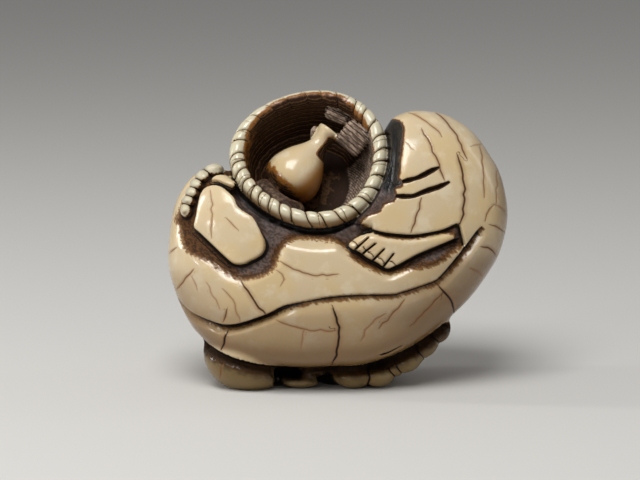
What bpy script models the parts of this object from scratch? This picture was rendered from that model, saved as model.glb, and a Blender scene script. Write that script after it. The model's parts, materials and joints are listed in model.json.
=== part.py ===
# Netsuke: a robed figure curled round a round basket that holds a gourd bottle, carved in one piece.
# Sizes are in millimetres, and the finished mesh is scaled to metres.  The carving is laid out
# face-on, with x to the right, z up the face and -y out of the face, and it leans back when it stands.

import bmesh
import bpy
import numpy as np
from math import cos, pi, radians, sin, tau
from mathutils import Matrix, Vector

MM = 0.001
LEAN = radians(10)
STANDS_ON = Vector((0.0, -4.0, -0.1))
GRAIN = 0.32
TRIANGLES = 9300

# The pebble-shaped mass of the robe, with its outline as x and z
MIDDLE = (0.0, 17.0)
ROBE_OUTLINE = [
    (-21.9, 18.0), (-21.5, 14.1), (-19.2, 8.7), (-16.0, 5.6), (-12.3, 4.0), (-8.6, 3.3), (-4.5, 3.0),
    (-0.4, 3.2), (3.0, 3.35), (6.3, 4.3), (9.2, 5.6), (12.0, 7.4), (14.5, 9.4), (17.0, 11.8),
    (19.3, 14.9), (21.0, 18.0), (21.9, 22.5), (21.1, 27.3), (19.5, 30.4), (17.1, 33.5), (13.8, 35.5),
    (10.6, 36.0), (9.0, 35.85), (7.3, 35.2), (6.2, 34.1), (5.5, 32.6), (0.0, 30.0), (-7.5, 29.0),
    (-14.0, 28.2), (-15.5, 28.8), (-16.8, 28.8), (-18.2, 28.0), (-19.5, 26.7), (-20.5, 25.1), (-21.3, 23.0),
]
ROBE_FRONT = 10.6
ROBE_BACK = 10.4
ROBE_FULLNESS = 2.7
OVERHANG = 3.4
OVERHANG_FROM = 3.5
OVERHANG_TO = 9.5
SHOULDER = (13.0, 26.0)
SHOULDER_SWELL = 0.6
SHOULDER_SPREAD = 5.5
HUNCH = ((1.0, 4.6, 25.5), (10.5, 6.6, 7.6))

# The edges of the carving's layers: the upper layer lies to the left of each line
HEM = [
    (-22.6, 14.8), (-21.4, 13.3), (-20.8, 12.0), (-19.7, 10.7), (-18.1, 9.6), (-15.1, 8.5), (-13.5, 8.4),
    (-12.0, 8.7), (-8.9, 9.8), (-7.4, 10.6), (-6.0, 11.1), (-1.6, 12.0), (2.6, 12.35), (6.6, 12.4),
    (7.8, 12.6), (11.8, 13.9), (12.7, 14.4), (13.5, 15.2), (15.7, 17.8), (17.0, 19.5), (18.2, 21.1),
]
SOLE = [
    (-16.3, 26.4), (-17.1, 25.9), (-17.6, 25.1), (-17.9, 24.0), (-18.2, 22.7), (-18.6, 21.6),
    (-18.6, 20.8), (-17.8, 20.1), (-16.8, 19.2), (-14.4, 17.0), (-13.6, 16.35), (-12.9, 16.1),
    (-12.0, 16.15), (-11.0, 16.6), (-9.9, 17.2), (-9.25, 18.0), (-9.2, 19.0), (-9.4, 20.0),
    (-10.3, 22.0), (-11.0, 22.7), (-12.4, 23.6), (-13.0, 24.5), (-13.7, 25.1), (-15.6, 26.2),
]
INSTEP = [
    (-16.2, 26.8), (-15.4, 26.4), (-14.4, 26.0), (-13.4, 25.9), (-13.8, 26.8), (-14.4, 27.4), (-15.6, 27.3),
]
HAND = [
    (4.6, 20.3), (3.2, 20.2), (2.2, 19.8), (1.5, 19.3), (1.1, 18.8), (1.7, 18.1), (2.6, 17.7), (3.5, 17.0),
    (4.9, 16.3), (6.1, 15.6), (7.4, 16.0), (10.1, 17.4), (13.5, 18.8), (15.4, 19.6),
]
SHOULDER_EDGE = [
    (4.6, 34.9), (6.3, 34.7), (7.6, 34.4), (8.15, 33.6), (8.05, 32.0), (7.75, 29.8), (7.55, 27.7),
    (7.4, 27.0), (7.9, 26.6), (7.8, 26.1), (7.0, 25.8), (7.1, 25.0), (6.9, 24.3), (5.6, 23.9), (5.1, 23.0),
    (3.7, 22.5), (2.8, 21.75),
]
SLEEVE_EDGE = [
    (2.6, 21.3), (2.9, 20.95), (4.1, 20.6), (5.5, 20.2), (7.0, 20.0), (8.9, 19.85), (10.7, 20.0),
    (13.2, 20.5), (14.6, 21.1), (15.2, 21.2), (15.5, 20.2), (15.9, 18.7),
]
UNDERSIDE_EDGE = ROBE_OUTLINE[1:14]
FINGER_GAPS = [
    [(2.2, 18.2), (3.7, 19.6)], [(3.1, 17.6), (4.6, 18.8)], [(4.3, 16.7), (5.7, 18.1)],
    [(5.7, 16.0), (6.9, 17.5)],
]
SLEEVE_FOLDS = [
    [(8.2, 26.65), (9.0, 26.85), (9.9, 27.1), (10.8, 27.5), (11.7, 28.0), (12.6, 28.4)],
    [(7.4, 24.8), (8.3, 24.75), (9.4, 24.8), (10.4, 25.2), (11.5, 25.6), (12.6, 25.95), (13.9, 26.55)],
]
HEM_BEHIND = [
    (18.0, 18.0), (15.5, 14.0), (10.0, 11.0), (3.0, 9.6), (-6.0, 8.0), (-14.5, 8.2), (-19.5, 10.6),
    (-21.4, 13.3), (-22.6, 14.8),
]
FOLDS_BEHIND = [
    [(-17.0, 22.0), (-9.0, 21.5), (0.0, 17.0), (6.0, 11.5)],
    [(-18.5, 17.5), (-10.0, 16.5), (-3.0, 13.5), (2.0, 10.0)],
    [(4.0, 30.5), (9.0, 25.0), (14.0, 21.5), (19.0, 20.5)],
    [(13.5, 33.0), (15.0, 28.5), (18.5, 25.0)],
]

# How deep the cuts are beside the edges, the hem's by its length from the left
HEM_DEPTHS = [
    (0.0, 0.6), (0.2, 0.7), (0.26, 1.4), (0.36, 1.4), (0.45, 0.7), (0.8, 0.7), (0.93, 1.2), (1.0, 0.9),
]
SOLE_HEIGHT = 1.3
SOLE_ROUNDING = 0.55
INSTEP_HEIGHT = 0.9
HAND_HEIGHT = 1.2
SLEEVE_HEIGHT = 0.85
FOLD_DEPTH = 0.45

# The basket: its rim's middle, the tilt of its mouth up from the face, and sections as radius and height
RIM_MIDDLE = Vector((-3.5, -4.0, 29.8))
RIM_TILT = radians(30)
MOUTH_WAY = Vector((0.0, -cos(RIM_TILT), sin(RIM_TILT)))
MOUTH_UP = Vector((0.0, sin(RIM_TILT), cos(RIM_TILT)))
RIM_RADIUS = 9.1
RIM_OFF_ROUND = 0.036
RIM_CORNER = radians(51.5)
ROPE_WIDTH = 1.0
ROPE_HEIGHT = 1.2
BASKET_SIDE = [(0.0, 0.6), (9.55, 0.6), (9.75, -2.5), (9.6, -5.0), (8.7, -8.0), (7.0, -9.8), (0.0, -10.0)]
BASKET_HOLLOW = [(0.0, 6.0), (8.6, 6.0), (8.25, 0.0), (7.95, -2.5), (7.3, -5.0), (5.9, -7.0), (0.0, -7.4)]
BASKET_SEAT = [(0.0, 14.0), (11.6, 14.0), (10.45, 1.0), (10.35, -1.9), (9.0, -2.2), (0.0, -2.2)]

# The gourd: the middle of its bulb, its mouth, and its section along that line
BULB = Vector((-5.3, -0.8, 28.0))
MOUTH = Vector((-1.0, -0.3, 33.5))
GOURD = [
    (0.0, 7.1), (0.9, 7.05), (1.4, 6.9), (1.3, 6.4), (1.0, 5.7), (0.87, 5.0), (1.0, 4.3), (1.65, 3.3),
    (2.5, 2.25), (3.2, 0.9), (3.4, -0.4), (3.0, -1.8), (1.8, -2.9), (0.0, -3.3),
]

# Rounded lumps, each with its middle and its half sizes
TOES = [
    ((-15.9, -2.6, 28.35), (1.35, 2.5, 1.0)), ((-17.4, -3.0, 27.3), (1.05, 2.5, 0.95)),
    ((-18.1, -3.5, 26.15), (1.0, 2.5, 0.85)), ((-18.75, -3.9, 24.85), (0.95, 2.5, 0.95)),
    ((-19.35, -4.2, 23.2), (0.85, 2.5, 1.35)),
]
LOBE = ((-11.2, -1.2, 4.9), (6.2, 5.6, 5.3))
LOBE_SIDE = -8.3
KNOBS = [
    ((1.95, -1.7, 2.0), (2.85, 2.7, 1.9)), ((5.5, -1.5, 2.7), (1.85, 2.7, 2.0)),
    ((7.0, -0.9, 3.2), (1.2, 2.4, 1.2)), ((8.8, -1.5, 4.2), (1.95, 2.6, 2.0)),
    ((11.1, -1.1, 6.0), (1.8, 2.4, 1.85)), ((12.9, -0.8, 7.9), (1.7, 2.3, 1.9)),
]
UNDERSIDE = [
    ((-4.8, -1.6, 0.9), (2.5, 2.0, 0.65)), ((-3.2, -1.9, 2.35), (2.1, 1.9, 0.6)),
    ((-3.5, 2.2, 3.2), (5.6, 3.4, 2.3)), ((2.5, 1.4, 3.4), (3.6, 4.0, 2.9)),
    ((6.5, 1.2, 4.6), (3.6, 3.9, 3.0)), ((10.5, 0.8, 7.0), (2.8, 3.4, 2.6)),
    ((3.5, 4.5, 3.8), (5.0, 3.0, 2.8)),
]

# The two cord holes in the back run to one turning point inside
CORD_HOLES = [((-6.5, 15.0, 17.0), 1.85), ((3.0, 15.0, 14.5), 1.6)]
CORD_TURN = Vector((-2.0, 5.4, 15.8))
CORD_TURN_RADIUS = 1.8


def ease(value):
    """0 to 1 with a soft start and end."""
    value = np.clip(value, 0.0, 1.0)
    return value * value * (3.0 - 2.0 * value)


def through(points, closed=False, step=0.25):
    """A smooth curve through the points, as an array of close places."""
    known = np.array(points, dtype=float)
    ends = (known[-1:], known[:2]) if closed else (known[:1], known[-1:])
    known = np.vstack((ends[0], known, ends[1]))
    places = []
    for before, start, end, after in zip(known, known[1:], known[2:], known[3:]):
        pieces = max(2, int(np.linalg.norm(end - start) / step))
        for t in np.arange(pieces) / pieces:
            turn = 2 * before - 5 * start + 4 * end - after
            bend = 3 * start - before - 3 * end + after
            places.append(0.5 * (2 * start + (end - before) * t + turn * t ** 2 + bend * t ** 3))
    places.append(known[-2])
    return np.array(places)


def beside(line, places, reach=60.0):
    """How far each place is from a line, plus on its left; how far along it, 0 to 1; how near its ends."""
    away = np.full(len(places), reach)
    along = np.zeros(len(places))
    near = np.flatnonzero(((places > line.min(0) - reach) & (places < line.max(0) + reach)).all(axis=1))
    spots = places[near]
    best = np.full(len(near), reach)
    firm = np.zeros(len(near))
    side = np.ones(len(near))
    passed = np.zeros(len(near))
    run = 0.0
    for start, end in zip(line[:-1], line[1:]):
        length = np.hypot(*(end - start))
        way = (end - start) / length
        offset = spots - start
        t = np.clip(offset @ way, 0.0, length)
        distance = np.hypot(offset[:, 0] - t * way[0], offset[:, 1] - t * way[1])
        left = way[0] * offset[:, 1] - way[1] * offset[:, 0]
        nearer = (distance < best - 1e-9) | ((distance < best + 1e-9) & (np.abs(left) > firm))
        best[nearer] = distance[nearer]
        firm[nearer] = np.abs(left)[nearer]
        side[nearer] = np.where(left < 0.0, -1.0, 1.0)[nearer]
        passed[nearer] = run + t[nearer]
        run += length
    away[near] = best * side
    along[near] = passed / run
    return away, along, np.minimum(along, 1.0 - along) * run


def step_down(distance, depth, reach, lip):
    """Depth of the cut beside an edge: steep at the upper layer, easing out over reach below it."""
    lower = depth * (1.0 - ease(-distance / reach))
    upper = depth * (1.0 - ease(distance / lip))
    return np.where(distance < 0.0, lower, upper)


def put_in(collection, name, bm):
    mesh = bpy.data.meshes.new(name)
    bm.to_mesh(mesh)
    bm.free()
    thing = bpy.data.objects.new(name, mesh)
    collection.objects.link(thing)
    return thing


def settle(thing):
    """Make an object's modifiers part of its mesh."""
    bpy.context.view_layer.update()
    shaped = thing.evaluated_get(bpy.context.evaluated_depsgraph_get())
    mesh = bpy.data.meshes.new_from_object(shaped)
    thing.modifiers.clear()
    thing.data = mesh


def read_places(thing, attribute="co"):
    flat = np.empty(len(thing.data.vertices) * 3)
    thing.data.vertices.foreach_get(attribute, flat)
    return flat.reshape(-1, 3)


def write_places(thing, places):
    thing.data.vertices.foreach_set("co", places.ravel())
    thing.data.update()


def robe(collection):
    """The robe's mass: a ball reshaped to the outline, its rim pulled forward at the bottom."""
    curve = through(ROBE_OUTLINE, closed=True)[:-1] - np.array(MIDDLE)
    angles = np.arctan2(curve[:, 1], curve[:, 0])
    order = np.argsort(angles)
    radii = np.hypot(curve[:, 0], curve[:, 1])
    bm = bmesh.new()
    bmesh.ops.create_uvsphere(bm, u_segments=160, v_segments=110, radius=1.0)
    thing = put_in(collection, "netsuke", bm)
    ball = read_places(thing)
    angle = np.arctan2(ball[:, 1], ball[:, 0])
    across = np.clip(np.hypot(ball[:, 0], ball[:, 1]), 0.0, 1.0) ** (2.0 / ROBE_FULLNESS)
    out = np.abs(ball[:, 2]) ** (2.0 / ROBE_FULLNESS)
    radius = np.interp(angle, angles[order], radii[order], period=tau) * across
    x = MIDDLE[0] + radius * np.cos(angle)
    z = MIDDLE[1] + radius * np.sin(angle)
    rim = -OVERHANG * ease((OVERHANG_TO - z) / (OVERHANG_TO - OVERHANG_FROM))
    from_shoulder = np.hypot(x - SHOULDER[0], z - SHOULDER[1])
    swell = SHOULDER_SWELL * np.exp(-0.5 * (from_shoulder / SHOULDER_SPREAD) ** 2)
    front = rim - (ROBE_FRONT + rim + swell) * out
    back = rim + (ROBE_BACK - rim + 0.6 * swell) * out
    write_places(thing, np.column_stack((x, np.where(ball[:, 2] > 0.0, front, back), z)))
    return thing


def slope_to_basket(thing):
    """Cut the face back round the basket, and down from the shoulder's edge to it."""
    places = read_places(thing)
    face = places[:, [0, 2]]
    offset = np.column_stack((face[:, 0] - RIM_MIDDLE.x, (face[:, 1] - RIM_MIDDLE.z) / cos(RIM_TILT)))
    ring = np.hypot(offset[:, 0], offset[:, 1]) / off_round(np.arctan2(offset[:, 1], offset[:, 0]))
    beyond = (ring - RIM_RADIUS - ROPE_WIDTH) * cos(RIM_TILT)
    edge, along, ends = beside(through(SHOULDER_EDGE), face)
    facet = 1.35 * np.clip(-edge, 0.0, 2.2) * (1.0 - ease((beyond - 1.5) / 1.5)) * ease(ends / 1.5)
    moat = 2.3 * (1.0 - ease((beyond - 0.6) / 2.6))
    sole, along, ends = beside(through(SOLE, closed=True), face)
    instep, along, ends = beside(through(INSTEP, closed=True), face)
    dome, along, ends = beside(through(SHOULDER_EDGE + SLEEVE_EDGE), face)
    raised = np.maximum.reduce([sole, instep, dome])
    depth = np.maximum(facet, moat * (1.0 - ease((raised + 0.5) / 0.6)))
    places[:, 1] += depth * ease(-places[:, 1] / 3.0)
    write_places(thing, places)


def off_round(angle):
    """How much wider than a circle the basket is, at an angle round its rim."""
    return 1.0 + RIM_OFF_ROUND * np.cos(3.0 * (angle - RIM_CORNER))


def out_of_round(thing):
    """Press a round part of the basket out of round."""
    places = read_places(thing)
    offset = places - np.array(RIM_MIDDLE)
    height = offset @ np.array(MOUTH_WAY)
    up = offset @ np.array(MOUTH_UP)
    wider = off_round(np.arctan2(up, offset[:, 0])) - 1.0
    across = offset - height[:, None] * np.array(MOUTH_WAY)
    write_places(thing, places + across * wider[:, None])
    return thing


def lump(bm, middle, half_sizes):
    place = Matrix.Translation(middle) @ Matrix.Diagonal((*half_sizes, 1.0))
    bmesh.ops.create_uvsphere(bm, u_segments=32, v_segments=20, radius=1.0, matrix=place)


def lumps(collection, name, shapes):
    bm = bmesh.new()
    for middle, half_sizes in shapes:
        lump(bm, middle, half_sizes)
    return put_in(collection, name, bm)


def lobe(collection):
    """The big lobe underneath, its right side cut straight."""
    bm = bmesh.new()
    lump(bm, *LOBE)
    everything = bm.verts[:] + bm.edges[:] + bm.faces[:]
    cut = bmesh.ops.bisect_plane(bm, geom=everything, plane_co=(LOBE_SIDE, 0.0, 0.0),
                                 plane_no=(1.0, 0.0, 0.0), clear_outer=True)
    rim = [item for item in cut["geom_cut"] if isinstance(item, bmesh.types.BMEdge)]
    bmesh.ops.holes_fill(bm, edges=rim)
    return put_in(collection, "lobe", bm)


def turned(collection, name, section, steps, middle, axis):
    """A turned solid from a section given top to bottom, stood at middle with its top along axis."""
    bm = bmesh.new()
    points = [bm.verts.new((radius, 0.0, height)) for radius, height in section]
    for upper, lower in zip(points[:-1], points[1:]):
        bm.edges.new((upper, lower))
    thing = put_in(collection, name, bm)
    screw = thing.modifiers.new("Turn", 'SCREW')
    screw.steps = steps
    screw.render_steps = steps
    screw.use_merge_vertices = True
    screw.merge_threshold = 0.0001
    settle(thing)
    thing.data.transform(Matrix.Translation(middle) @ axis.to_track_quat('Z', 'Y').to_matrix().to_4x4())
    return thing


def rope_ring(collection):
    """The ring of rope on the basket's rim."""
    bm = bmesh.new()
    place = Matrix.Translation((RIM_RADIUS, 0.0, 0.0)) @ Matrix.Rotation(pi / 2, 4, 'X')
    ring = bmesh.ops.create_circle(bm, segments=20, radius=ROPE_WIDTH, matrix=place)["verts"]
    bmesh.ops.scale(bm, vec=(1.0, 1.0, ROPE_HEIGHT / ROPE_WIDTH), verts=ring)
    bmesh.ops.spin(bm, geom=bm.verts[:] + bm.edges[:], axis=(0.0, 0.0, 1.0), cent=(0.0, 0.0, 0.0),
                   angle=tau, steps=120, use_merge=True)
    bmesh.ops.recalc_face_normals(bm, faces=bm.faces[:])
    bmesh.ops.transform(bm, matrix=MOUTH_WAY.to_track_quat('Z', 'Y').to_matrix().to_4x4(), verts=bm.verts[:])
    bmesh.ops.translate(bm, vec=RIM_MIDDLE, verts=bm.verts[:])
    return put_in(collection, "rope rim", bm)


def cord_holes(collection):
    """A cutter for the two cord holes and the bend that joins them."""
    bm = bmesh.new()
    for mouth, radius in CORD_HOLES:
        way = Vector(mouth) - CORD_TURN
        turn = way.to_track_quat('Z', 'Y').to_matrix().to_4x4()
        bmesh.ops.create_cone(bm, cap_ends=True, segments=24, radius1=radius * 0.9, radius2=radius,
                              depth=way.length, matrix=Matrix.Translation(CORD_TURN + way / 2) @ turn)
    lump(bm, CORD_TURN, (CORD_TURN_RADIUS, CORD_TURN_RADIUS, CORD_TURN_RADIUS))
    thing = put_in(collection, "cord holes", bm)
    merge(thing, [])
    return thing


def merge(thing, others):
    """Make one skin round an object and the others that overlap it."""
    bm = bmesh.new()
    for one in [thing] + others:
        bm.from_mesh(one.data)
    bm.to_mesh(thing.data)
    bm.free()
    skin = thing.modifiers.new("Skin", 'REMESH')
    skin.mode = 'VOXEL'
    skin.voxel_size = GRAIN
    settle(thing)


def cut_away(thing, cutter):
    cut = thing.modifiers.new("Cut", 'BOOLEAN')
    cut.operation = 'DIFFERENCE'
    cut.solver = 'EXACT'
    cut.object = cutter
    settle(thing)


def carve_layers(thing):
    """Cut the steps between the layers, the folds and the fingers, square to the surface."""
    places = read_places(thing)
    normals = read_places(thing, "normal")
    face = places[:, [0, 2]]
    sole, run, ends = beside(through(SOLE, closed=True), face)
    instep, run, ends = beside(through(INSTEP, closed=True), face)
    dome, run, ends = beside(through(SHOULDER_EDGE + SLEEVE_EDGE), face)
    sleeve, run, ends = beside(through(SLEEVE_EDGE), face)
    under, run, under_ends = beside(through(UNDERSIDE_EDGE), face)
    hand, run, hand_ends = beside(through(HAND), face)
    hem, run, hem_ends = beside(through(HEM), face)
    hem_depth = np.interp(run, *zip(*HEM_DEPTHS))
    pillow = SOLE_ROUNDING * np.clip(1.0 - sole / 3.5, 0.0, 1.0) ** 2 * (sole > 0.0)
    cuts = [
        step_down(hem, hem_depth, 1.7, GRAIN) * ease(hem_ends / 1.2),
        step_down(sole, SOLE_HEIGHT, 3.0, GRAIN) * (1.0 - ease((instep + 0.3) / 0.3)),
        step_down(instep, INSTEP_HEIGHT, 1.2, GRAIN) * (sole < 0.0),
        step_down(hand, HAND_HEIGHT, 1.7, GRAIN) * ease(hand_ends / 0.6),
        step_down(dome, SLEEVE_HEIGHT, 1.2, GRAIN) * (np.abs(sleeve) < np.abs(dome) + 0.01),
        np.where(under < 0.0, step_down(under, 1.3, 1.8, GRAIN), 0.0) * ease(under_ends / 2.0),
        pillow,
    ]
    for line in FINGER_GAPS + SLEEVE_FOLDS:
        distance, run, ends = beside(through(line), face)
        cuts.append(FOLD_DEPTH * (1.0 - ease(np.abs(distance) / GRAIN)))
    ahead = np.maximum.reduce(cuts)
    distance, run, ends = beside(through(HEM_BEHIND), face)
    cuts = [step_down(-distance, 0.6, 1.8, GRAIN) * ease(ends / 1.5)]
    for line in FOLDS_BEHIND:
        distance, run, ends = beside(through(line), face)
        cuts.append(step_down(distance, 0.5, 2.2, 0.8) * ease(ends / 3.0))
    behind = np.maximum.reduce(cuts)
    from_rim = places - np.array(RIM_MIDDLE)
    off_basket = ease((np.hypot(from_rim[:, 0], from_rim @ np.array(MOUTH_UP)) - RIM_RADIUS - ROPE_WIDTH) / 0.5)
    ahead *= ease((3.5 - places[:, 1]) / 2.0) * ease((-normals[:, 1] - 0.05) / 0.2) * off_basket
    behind *= ease((places[:, 1] - 0.5) / 2.0) * ease((normals[:, 1] - 0.05) / 0.2)
    square = normals - np.outer(1.2 * ease(-normals[:, 1] / 0.5), (0.0, 1.0, 0.0))
    square /= np.linalg.norm(square, axis=1)[:, None]
    write_places(thing, places - square * (ahead + behind)[:, None])


def soften(thing):
    smooth = thing.modifiers.new("Soften", 'SMOOTH')
    smooth.factor = 0.5
    smooth.iterations = 2
    settle(thing)


def thin_out(thing):
    thing.data.calc_loop_triangles()
    fewer = thing.modifiers.new("Thin out", 'DECIMATE')
    fewer.ratio = TRIANGLES / len(thing.data.loop_triangles)
    fewer.use_collapse_triangulate = True
    settle(thing)


def stand(thing, collection):
    """Lean the carving back, put the middle of its box over the origin, and flatten what it rests on."""
    thing.data.transform(Matrix.Rotation(-LEAN, 4, 'X'))
    places = read_places(thing)
    x, y, z = (places.min(0) + places.max(0)) / 2
    ground = (Matrix.Rotation(-LEAN, 4, 'X') @ STANDS_ON).z
    thing.data.transform(Matrix.Translation((-x, -y, -ground)))
    bm = bmesh.new()
    bmesh.ops.create_cube(bm, size=60.0, matrix=Matrix.Translation((0.0, 0.0, -30.0)))
    cut_away(thing, put_in(collection, "ground", bm))
    thing.data.transform(Matrix.Scale(MM, 4))


def paint(thing):
    ivory = bpy.data.materials.new("old ivory")
    ivory.use_nodes = True
    surface = ivory.node_tree.nodes["Principled BSDF"]
    surface.inputs["Base Color"].default_value = (0.56, 0.42, 0.23, 1.0)
    surface.inputs["Roughness"].default_value = 0.3
    thing.data.materials.clear()
    thing.data.materials.append(ivory)
    thing.data.shade_smooth()


def build():
    for thing in list(bpy.data.objects):
        bpy.data.objects.remove(thing)
    solids = bpy.data.collections.new("netsuke")
    cutters = bpy.data.collections.new("cutters")
    for collection in (solids, cutters):
        bpy.context.scene.collection.children.link(collection)

    carving = robe(solids)
    slope_to_basket(carving)
    base = [lumps(cutters, "knobs", KNOBS + UNDERSIDE), lobe(cutters)]
    merge(carving, [lumps(cutters, "hunched back", [HUNCH])] + base)
    cut_away(carving, out_of_round(turned(cutters, "basket seat", BASKET_SEAT, 72, RIM_MIDDLE, MOUTH_WAY)))
    merge(carving, [out_of_round(turned(cutters, "basket", BASKET_SIDE, 72, RIM_MIDDLE, MOUTH_WAY))])
    carve_layers(carving)
    cut_away(carving, out_of_round(turned(cutters, "basket hollow", BASKET_HOLLOW, 72, RIM_MIDDLE, MOUTH_WAY)))
    cut_away(carving, cord_holes(cutters))
    merge(carving, [out_of_round(rope_ring(cutters)), lumps(cutters, "toes", TOES),
                    turned(cutters, "gourd", through(GOURD), 40, BULB, MOUTH - BULB)])
    soften(carving)
    thin_out(carving)
    stand(carving, cutters)
    paint(carving)
    for thing in cutters.objects:
        thing.hide_render = True
        thing.display_type = 'WIRE'


build()
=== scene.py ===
# A netsuke in old stained ivory: a robed figure curled round a rope-rimmed basket with a gourd in it.
# The carving is laid out in millimetres and face-on, with x to the right, z up the face and -y out of
# the face.  It is roughed out, hollowed, cut and polished in that layout, then leaned back on its base.

import json
from math import cos, pi, radians, sin, tau

import bmesh
import bpy
import numpy as np
from mathutils import Matrix, Vector

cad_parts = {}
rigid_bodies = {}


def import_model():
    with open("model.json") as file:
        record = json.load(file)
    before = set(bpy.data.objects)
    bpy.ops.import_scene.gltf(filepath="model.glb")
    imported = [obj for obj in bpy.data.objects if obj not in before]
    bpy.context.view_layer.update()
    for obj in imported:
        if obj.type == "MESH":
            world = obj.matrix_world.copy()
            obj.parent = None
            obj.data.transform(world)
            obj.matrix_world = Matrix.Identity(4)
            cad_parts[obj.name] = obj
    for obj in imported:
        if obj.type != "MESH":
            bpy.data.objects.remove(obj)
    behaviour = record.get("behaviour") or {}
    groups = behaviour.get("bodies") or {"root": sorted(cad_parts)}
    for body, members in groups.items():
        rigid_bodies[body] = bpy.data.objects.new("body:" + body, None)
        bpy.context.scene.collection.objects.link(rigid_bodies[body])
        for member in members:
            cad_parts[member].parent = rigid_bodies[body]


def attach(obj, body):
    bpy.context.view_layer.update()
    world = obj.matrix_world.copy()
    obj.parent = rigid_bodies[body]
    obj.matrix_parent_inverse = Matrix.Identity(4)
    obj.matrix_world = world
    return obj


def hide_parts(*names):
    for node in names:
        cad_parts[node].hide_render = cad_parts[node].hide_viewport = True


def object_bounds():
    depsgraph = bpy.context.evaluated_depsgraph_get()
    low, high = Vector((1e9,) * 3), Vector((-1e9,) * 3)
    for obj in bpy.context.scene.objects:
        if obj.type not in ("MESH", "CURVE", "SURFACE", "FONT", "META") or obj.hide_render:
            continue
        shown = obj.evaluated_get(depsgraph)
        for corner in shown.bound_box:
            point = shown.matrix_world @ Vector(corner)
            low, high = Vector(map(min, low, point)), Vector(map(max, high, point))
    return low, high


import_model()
cad_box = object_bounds()

MM = 0.001
LEAN = radians(10)
STANDS_ON = Vector((0.0, -4.0, -0.1))
ROUGH_GRAIN = 0.3
FINE_GRAIN = 0.165
TRIANGLES = 196000

# The pebble-shaped mass of the robe, with its outline as x and z
MIDDLE = (0.0, 17.0)
ROBE_OUTLINE = [
    (-21.9, 18.0), (-21.5, 14.1), (-19.2, 8.7), (-16.0, 5.6), (-12.3, 4.0), (-8.6, 3.3), (-4.5, 3.0),
    (-0.4, 3.2), (3.0, 3.35), (6.3, 4.3), (9.2, 5.6), (12.0, 7.4), (14.5, 9.4), (17.0, 11.8),
    (19.3, 14.9), (21.0, 18.0), (21.9, 22.5), (21.1, 27.3), (19.5, 30.4), (17.1, 33.5), (13.8, 35.5),
    (10.6, 36.0), (9.0, 35.85), (7.3, 35.2), (6.2, 34.1), (5.5, 32.6), (0.0, 30.0), (-7.5, 29.0),
    (-14.0, 28.2), (-15.5, 28.8), (-16.8, 28.8), (-18.2, 28.0), (-19.5, 26.7), (-20.5, 25.1), (-21.3, 23.0),
]
ROBE_FRONT = 10.6
ROBE_BACK = 10.4
ROBE_FULLNESS = 2.7
OVERHANG = 3.4
OVERHANG_FROM = 3.5
OVERHANG_TO = 9.5
SHOULDER = (13.0, 26.0)
SHOULDER_SWELL = 0.6
SHOULDER_SPREAD = 5.5
HUNCH = ((1.0, 4.6, 25.5), (10.5, 6.6, 7.6))

# How the face is cut back beside the basket: a facet by the shoulder, and a moat round the rope
FACET_SLOPE = 1.35
FACET_WIDTH = 2.2
MOAT_DEPTH = 2.3
MOAT_WIDTH = 2.6

# The edges of the carving's layers: the upper layer lies to the left of each line
HEM = [
    (-22.6, 14.8), (-21.4, 13.3), (-20.8, 12.0), (-19.7, 10.7), (-18.1, 9.6), (-15.1, 8.5), (-13.5, 8.4),
    (-12.0, 8.7), (-8.9, 9.8), (-7.4, 10.6), (-6.0, 11.1), (-1.6, 12.0), (2.6, 12.35), (6.6, 12.4),
    (7.8, 12.6), (11.8, 13.9), (12.7, 14.4), (13.5, 15.2), (15.7, 17.8), (17.0, 19.5), (18.2, 21.1),
]
SOLE = [
    (-16.4, 26.5), (-17.3, 26.05), (-17.85, 25.2), (-18.15, 24.0), (-18.35, 22.7), (-18.6, 21.6),
    (-18.6, 20.8), (-17.8, 20.1), (-16.8, 19.2), (-14.4, 17.0), (-13.6, 16.35), (-12.9, 16.1),
    (-12.0, 16.15), (-11.0, 16.6), (-9.9, 17.2), (-9.25, 18.0), (-9.2, 19.0), (-9.4, 20.0),
    (-10.3, 22.0), (-11.0, 22.7), (-12.4, 23.6), (-12.85, 24.6), (-13.4, 25.3), (-15.1, 26.4),
]
INSTEP = [
    (-16.3, 27.0), (-15.2, 26.75), (-14.0, 26.2), (-13.0, 25.9), (-13.1, 26.6), (-14.0, 27.6),
    (-15.5, 27.7),
]
HAND = [
    (4.6, 20.3), (3.2, 20.2), (2.2, 19.8), (1.5, 19.3), (1.1, 18.8), (1.7, 18.1), (2.6, 17.7), (3.5, 17.0),
    (4.9, 16.3), (6.1, 15.6), (7.4, 16.0), (10.1, 17.4), (13.5, 18.8), (15.4, 19.6),
]
SHOULDER_EDGE = [
    (4.6, 34.9), (6.3, 34.7), (7.6, 34.4), (8.15, 33.6), (8.05, 32.0), (7.75, 29.8), (7.55, 27.7),
    (7.4, 27.0), (7.9, 26.6), (7.8, 26.1), (7.0, 25.8), (7.1, 25.0), (6.9, 24.3), (5.6, 23.9), (5.1, 23.0),
    (3.7, 22.5), (2.8, 21.75),
]
SLEEVE_EDGE = [
    (2.6, 21.3), (2.9, 20.95), (4.1, 20.6), (5.5, 20.2), (7.0, 20.0), (8.9, 19.85), (10.7, 20.0),
    (13.2, 20.5), (14.6, 21.1), (15.2, 21.2), (15.5, 20.2), (15.9, 18.7),
]
RECESS = [
    (-24.0, 24.5), (-21.0, 21.6), (-20.3, 19.6), (-19.2, 17.7), (-16.6, 16.4), (-14.6, 15.1), (-12.7, 14.1),
    (-10.1, 14.4), (-8.2, 15.4), (-7.5, 17.0), (-6.9, 18.2), (-4.9, 19.3), (0.3, 18.7), (1.4, 17.0),
    (3.7, 15.7), (6.0, 14.9), (8.3, 15.2), (12.4, 16.0), (14.7, 17.6), (16.0, 18.6), (24.0, 25.0),
]
TOE_STRIP = [(-21.4, 21.0), (-20.7, 22.8), (-19.9, 24.7), (-18.7, 26.6), (-17.4, 28.2), (-16.6, 29.6)]
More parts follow.
